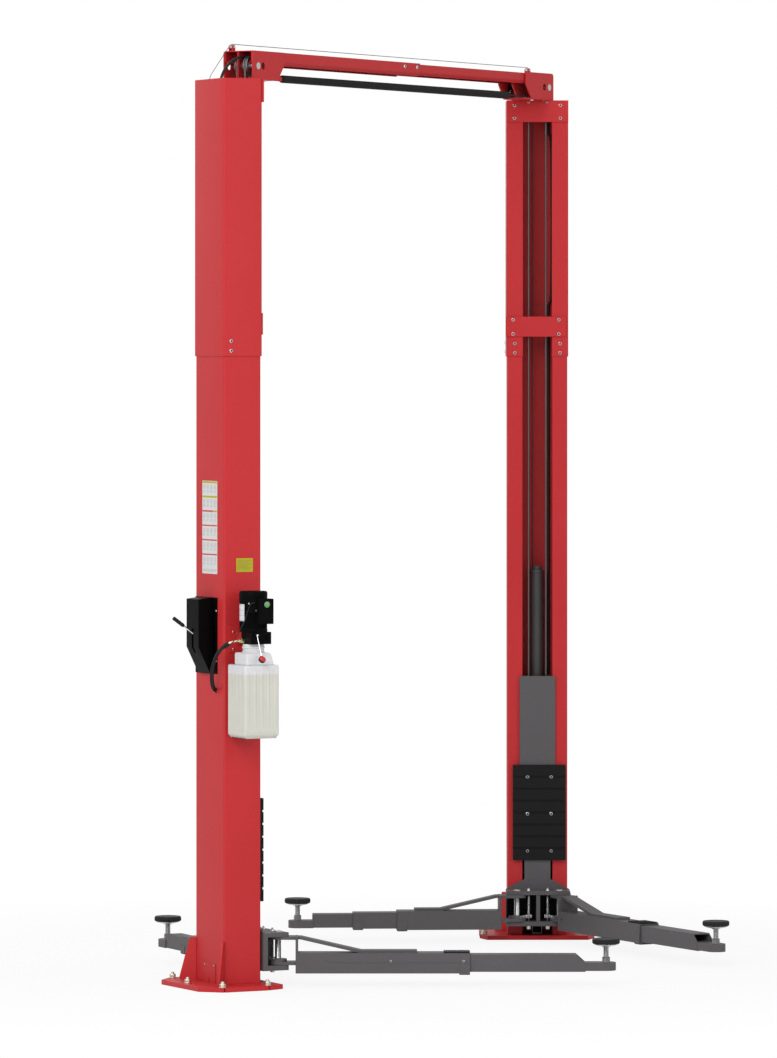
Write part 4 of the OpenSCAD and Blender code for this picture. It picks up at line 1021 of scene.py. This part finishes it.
# %% Switch lead
LEAD_R = 2.0
LEAD = [(-19.7, 294.6, 1633.7), (-32.9, 287.9, 1627.9), (-40, 282.3, 1613), (-45.2, 276.9, 1595.2),
        (-49, 273.6, 1577.5), (-54.6, 273, 1562), (-62.3, 275, 1549), (-69.4, 274.3, 1536), (-77, 270, 1519),
        (-84.5, 262, 1498.1), (-91.1, 251, 1480.1), (-98.1, 240, 1465.1), (-106.5, 228.5, 1452.5),
        (-115, 216, 1443), (-127, 200, 1436), (-137, 180, 1422), (-142, 156, 1396),
        (-142, 132, 1366), (-140, 116, 1337), (-135, 104, 1308), (-127, 92, 1284), (-115, 82, 1264),
        (-101, 76, 1252), (-88, 72, 1248)]
lead_path = smooth_path(LEAD, 5)
lead = on_unit("switch_lead", along(lead_path, LEAD_R, 10), hose_rubber)
hose(lead_path)

# %% [markdown]
# The top hose is clipped to the posts and the beam all the way, so it is one fixed skin. High up on the right
# post it lies behind the lip, and lower down beside it.

# %% Top hose
TOP_HOSE_R = 6.0
TOP_HOSE = [(-91, -10, 1300), (-91, -10, 2500), (-91, -10, 3700), (-90, -11, 3790), (-82, -16, 3840),
            (-68, -24, 3876), (-45, -33, 3904), (-16, -41, 3923), (16, -44, 3932), (60, -44, 3934)]
down = np.array([(POST_SPACING - x, y, z) for x, y, z in TOP_HOSE[::-1]], float)
down = np.insert(down, -2, [(2738, -22, 3600), (2738, -22, 3000), (2731, -10, 2900)], axis=0)
foot_end = [(2731, -10, 200), (2730, -10, 130), (2724, -8, 92), (2710, -5, 68), (2690, -2, 56), (2671, -1, 53)]
top_path = np.vstack([TOP_HOSE[:2], smooth_path(TOP_HOSE[2:], 8), smooth_path(down[:-2], 8), [down[-2]],
                      smooth_path(foot_end, 8)])
top_hose = piece("top_hose_rubber", along(top_path, TOP_HOSE_R), hose_rubber, "frame")
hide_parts("top_hose")

# %% [markdown]
# Two wire ropes tie the carriages together. Each goes up one post, over two sheaves and down the other, and a
# thin wire from the lock lever runs over small pulleys on the crossbeam.

# %% Ropes
CABLE_U, CABLE_V, CABLE_R = 60.0, 40.0, 4.5
SHEAVE_R, SHEAVE_Z, CABLE_LOW = 40.0, 3898.0, 320.0


def rope_path(v):
    """Straight up, a quarter circle over each sheave, and straight down."""
    x, y, _ = on_left(np.array([[CABLE_U, v, 0.0]]))[0]
    a = np.radians(np.linspace(180, 90, 13))
    rise = np.stack([x + SHEAVE_R + SHEAVE_R * np.cos(a), 0 * a + y, SHEAVE_Z + SHEAVE_R * np.sin(a)], axis=1)
    rise = np.vstack([[[x, y, CABLE_LOW]], rise])
    fall = rise[::-1] * [-1, 1, 1] + [POST_SPACING, 0, 0]
    return np.vstack([rise, fall])


ropes = piece("lifting_ropes", [along(rope_path(v), CABLE_R, 12) for v in (CABLE_V, -CABLE_V)], rope, "frame")
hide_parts("equalizing_cables")
RELEASE = [(-38, 76, 1560), (-38, 76, 2600), (-38, 76, 3770), (-37, 75, 3830), (-28, 69, 3860), (34, 28, 3968),
           (42, 21, 3982), (48, 17, 3989), (56, 17, 3992), (70, 17, 3992), (1320, 17, 3992), (2570, 17, 3992),
           (2584, 17, 3992), (2592, 17, 3989), (2598, 21, 3982), (2606, 27, 3968), (2662, 50, 3860),
           (2690, 53, 3820), (2692, 53, 3770), (2692, 53, 2600), (2692, 53, 1560)]
wire = piece("release_wire_strand", along(RELEASE, 1.5, 8), thin_rope, "frame")
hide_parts("release_wire")

# %% [markdown]
# The thin wire turns over two small pulleys between red ears on the crossbeam. The ears are flat outlines
# pushed to their thickness, and the wheels and axles are turned.

# %% Release pulleys
PULLEY_X, PULLEY_Y, BEAM_TOP, AXLE_Z = 56.0, 17.0, 3962.0, 3979.0
ear = [(-12, 0), (12, 0), (12, 18), (10, 23), (6, 26), (-6, 26), (-10, 23), (-12, 18)]
ears, wheels = [], []
for x in (PULLEY_X, POST_SPACING - PULLEY_X):
    for y in (PULLEY_Y - 10, PULLEY_Y + 6):
        ears.append(extruded([(x + a, BEAM_TOP + b) for a, b in ear], y, y + 4, "y"))
    wheel = [(0, -5.6), (11, -5.6), (11, -3.4), (8.6, -1.2), (8.6, 1.2), (11, 3.4), (11, 5.6), (0, 5.6)]
    wheels.append(turned(wheel, (x, PULLEY_Y, AXLE_Z), (0, 1, 0)))
    axle = [(0, -13), (4.5, -13), (5.5, -11.5, 1), (5.5, -10, 1), (3.5, -10), (3.5, 10), (5.5, 10, 1),
            (5.5, 13, 1), (0, 13)]
    wheels.append(turned(axle, (x, PULLEY_Y, AXLE_Z), (0, 1, 0), 24))
pulleys = piece("pulley_ears", ears, red_coat, "frame", bevel=0.8)
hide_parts("release_pulleys")
piece("pulley_wheels", wheels, zinc, "frame")

# %% [markdown]
# The limit bar is a foam sleeve on a steel rod. Its left end hangs on a cross pin and its right end rests on
# a shelf, where a lifted vehicle roof would push it against the small switch.

# %% Limit bar and switch
BAR_START, BAR_END = (282.0, -90.0, 3850.0), (2217.0, -90.0, 3850.0)
BAR_LEN, ROD_END = 1935.0, 182
foam = [(0, 0), (6, 0), (13.5, 0), (15.8, 1.2), (16.5, 4), (16.5, BAR_LEN - 4), (15.8, BAR_LEN - 1.2),
        (13.5, BAR_LEN), (0, BAR_LEN)]
bar = piece("bar_sleeve", turned(foam, BAR_START, (1, 0, 0), 40), bar_foam, "limit_bar")
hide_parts("limit_bar")
rod = [(0, 0), (4.9, 0), (4.9, ROD_END), (4, ROD_END + 1), (0, ROD_END + 1)]
rod_end = turned(rod, BAR_END, (1, 0, 0), 24)
lug = block((258, -93, 3842), (284, -87, 3858))
collar = turned([(0, 0), (8, 0), (8, 5), (0, 5)], BAR_END, (1, 0, 0), 24)
piece("bar_rod", rod_end, dark_oxide_and_socket_shade, "limit_bar")
piece("bar_ends", [collar, lug], zinc, "limit_bar", bevel=0.6)
SWITCH = (2440.0, 12.0, 3880.0)
case = block(SWITCH, (2470, 38, 3910))
switch = piece("limit_switch_case", case, motor_black, "frame", bevel=1.5)
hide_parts("limit_switch")
piece("limit_switch_cap", block((2443, 5, 3884), (2467, 12.2, 3906)), switch_blue, "frame", bevel=1.5)
roller = turned([(0, -3), (6, -3), (6, 3), (0, 3)], (2434, 20, 3876), (0, 1, 0), 24)
piece("limit_switch_roller", [roller, block((2433, 18, 3874), (2442, 22, 3884))], zinc, "frame")

# %% [markdown]
# The lock lever is a polished rod with a ribbed black grip, and the lowering valve's rod ends in a round knob
# with a black base and a red cap. Both turn about their hubs.

# %% Levers
LEVER_PIN = (-114.25, -29.0, 1469.0)
RISE = math.radians(35.5)
lever_way = (-math.cos(RISE), 0, math.sin(RISE))
hub = turned([(0, -7), (8, -7), (9, -6), (9, 6), (8, 7), (0, 7)], LEVER_PIN, (0, 1, 0))
rod = turned([(0, 4), (4, 4), (4, 101), (0, 101)], LEVER_PIN, lever_way, 20)
grip_rows = [(0, 99), (5.5, 99), (7.2, 101), (7.6, 104)]
for k in range(6):
    grip_rows += [(8.2, 108 + 7 * k), (8.2, 112 + 7 * k), (7.4, 113 + 7 * k), (7.4, 114 + 7 * k)]
grip_rows += [(8.4, 152), (8.0, 158), (5, 160), (0, 160)]
lever = piece("lock_lever_rod", [hub, rod], lever_steel, "lock_lever", on_left)
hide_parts("lock_lever")
piece("lock_lever_grip", turned(grip_rows, LEVER_PIN, lever_way, 28), pad_rubber, "lock_lever", on_left)
VALVE_PIN = (-14.0, 303.5, 1497.0)
DROP = math.radians(154)
valve_way = (0, math.sin(DROP), math.cos(DROP))
hub = turned([(0, -4.5), (5, -4.5), (5.5, -4), (5.5, 4), (5, 4.5), (0, 4.5)], VALVE_PIN, (1, 0, 0), 24)
rod = turned([(0, 0), (2.2, 0), (2.5, 60), (2.5, 104), (0, 104)], VALVE_PIN, valve_way, 16)
valve = piece("valve_rod", [hub, rod], lever_steel, "valve_lever", on_left)
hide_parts("valve_lever")
KNOB_OUT = 111.0
KNOB = tuple(p + KNOB_OUT * w for p, w in zip(VALVE_PIN, valve_way))
KNOB_WAY = (0.30, 0.63, 0.72)
base = [(0, -12), (9, -12), (13, -9.5), (15, -5), (15.6, -1), (14.6, 0), (0, 0)]
piece("valve_knob_base", turned(base, KNOB, KNOB_WAY), pad_rubber, "valve_lever", on_left)
cap = [(0, -0.2), (14.6, -0.2), (15.4, 1.5), (15, 5), (12.6, 8.6), (8, 11), (0, 12)]
piece("valve_knob", turned(cap, KNOB, KNOB_WAY), knob_red, "valve_lever", on_left)

# %% [markdown]
# The notices are plain: a white strip in six fields, with coloured bars between them and pale blocks where a
# printed notice would have its pictures, and a yellow plate with plain lines.

# %% Notices
STRIP_LOW, STRIP_HIGH = (-69.0, 1747.0), (74.0, 2140.0)
STRIP_FACE = -88.75
PLATE_BACK, PLATE_FACE = 137.25, 138.75
FIELDS, FOOT_SHARE = 6, 0.35


def on_strip(v0, v1, z0, z1, lift=0.25):
    """A thin block on the strip's face."""
    return block((STRIP_FACE - lift, v0, z0), (STRIP_FACE, v1, z1))


strip = block((STRIP_FACE, *STRIP_LOW), (-BACK, *STRIP_HIGH))
strip = on_unit("notice_strip", strip, film["white"], 0.4)
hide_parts("notice_plates")
field = (STRIP_HIGH[1] - STRIP_LOW[1] - 4) / (FIELDS + FOOT_SHARE)
v0, v1 = STRIP_LOW[0] + 2, STRIP_HIGH[0] - 2
yellow_bars, red_bars, blocks, hairlines = [], [], [], []
for k in range(FIELDS):
    top = STRIP_HIGH[1] - 2 - k * field
    if k < 2:
        yellow_bars.append(on_strip(v0, v1, top - 8, top))
    elif k == 2:
        yellow_bars.append(on_strip(v1 - 36, v1, top - 7, top))
        red_bars.append(on_strip(v0, v1 - 38, top - 7, top))
    else:
        red_bars.append(on_strip(v0, v1, top - 6, top))
    for c in range(4):
        a = v0 + 5 + c * 34.5
        blocks.append(on_strip(a, a + 23, top - 33, top - 14))
        for j in range(3):
            z = top - 4 * j
            hairlines.append(on_strip(a + 1, a + 22 - 5 * (j % 2), z - 39, z - 37.6, 0.15))
for j in range(3):
    z = STRIP_LOW[1] + 4 * j
    hairlines.append(on_strip(-62, 66, z + 10, z + 11.4, 0.15))
on_unit("notice_yellow_bars", yellow_bars, film["yellow"])
on_unit("notice_red_bars", red_bars, film["red"])
on_unit("notice_blocks", blocks, film["pale"])
on_unit("notice_lines", hairlines, film["grey"])
plate = block((-30, PLATE_BACK, 1757), (48, PLATE_FACE, 1815))
on_unit("yellow_plate", plate, film["yellow"], 0.4)
rules = [block((-24, PLATE_FACE, 1805 - 5.2 * k), (42 - 9 * (k % 3), PLATE_FACE + 0.15, 1807 - 5.2 * k))
         for k in range(8)]
on_unit("yellow_plate_rules", rules, film["olive"])

# %% [markdown]
# The lock box is folded sheet, screwed to the post through its side flanges, with a lever slot in its front.

# %% Lock box screws
BOX_FLANGE = -89.25
screws("lock_box_screws", facing(BOX_FLANGE, (-120, 68), (1592, 1380), 0.6), "frame", on_left)

# %% [markdown]
# The lift stands on a plain white floor, which fades into a white sky. The sky gives an even light, a little
# stronger in reflections, and a broad lamp from the left gives the faces their difference.

# %% Stage and light
floor_mesh = bpy.data.meshes.new("floor")
FLOOR = 60.0
floor_mesh.from_pydata([(-FLOOR, -FLOOR, 0), (FLOOR, -FLOOR, 0), (FLOOR, FLOOR, 0), (-FLOOR, FLOOR, 0)],
                       [], [(0, 1, 2, 3)])
floor = linked("floor", floor_mesh)
ground = bpy.data.materials.new("white_floor")
ground.use_nodes = True
NEAR, FAR, NEAR_SHARE = 1.9, 3.6, 0.86
shade = Nodes(ground.node_tree)
shade.tree.nodes.clear()
matte = shade.node("ShaderNodeBsdfDiffuse", {}, (0.92, 0.92, 0.92, 1.0))
glow = shade.node("ShaderNodeEmission", {}, Strength=1.0)
seen = shade.node("ShaderNodeLightPath", {}, out="Is Camera Ray")
place = shade.node("ShaderNodeTexCoord", {}, out="Object")
away = shade.node("ShaderNodeVectorMath", {"operation": "DISTANCE"}, place, (1.32, 0.0, 0.0), out="Value")
fade = shade.node("ShaderNodeMapRange", {}, away, NEAR, FAR, NEAR_SHARE, 1.0)
blend = shade.node("ShaderNodeMixShader", {}, seen * fade, matte, glow)
shade.node("ShaderNodeOutputMaterial", {}, blend)
floor_mesh.materials.append(ground)

world = bpy.data.worlds.new("studio")
world.use_nodes = True
bpy.context.scene.world = world
SKY_LIGHT, SHINE = 0.52, 0.62
sky = Nodes(world.node_tree)
sky.tree.nodes.clear()
seen = sky.node("ShaderNodeLightPath", {}, out="Is Camera Ray")
mirrored = sky.node("ShaderNodeLightPath", {}, out="Is Glossy Ray")
level = seen.math("MAXIMUM", mirrored.math("MULTIPLY_ADD", SHINE - SKY_LIGHT, SKY_LIGHT))
white = sky.node("ShaderNodeBackground", {}, (1.0, 1.0, 1.0, 1.0), level)
sky.node("ShaderNodeOutputWorld", {}, white)

MIDDLE = np.array([1.3, 0.0, 1.6])


def lamp(name, place, size, energy):
    """A square lamp aimed at the middle of the lift."""
    data = bpy.data.lights.new(name, "AREA")
    data.size = size
    data.energy = energy
    obj = linked(name, data)
    obj.location = place
    aim = MIDDLE - np.array(place)
    yaw = math.atan2(aim[1], aim[0])
    pitch = math.atan2(math.hypot(aim[0], aim[1]), -aim[2])
    obj.rotation_euler = (pitch, 0.0, yaw - math.radians(90))


lamp("key_lamp", (-10.5, -1.2, 8.0), 7.0, 790.0)
lamp("fill_lamp", (-1.0, -11.0, 6.0), 8.0, 230.0)
lamp("back_lamp", (6.0, 9.0, 7.0), 8.0, 260.0)
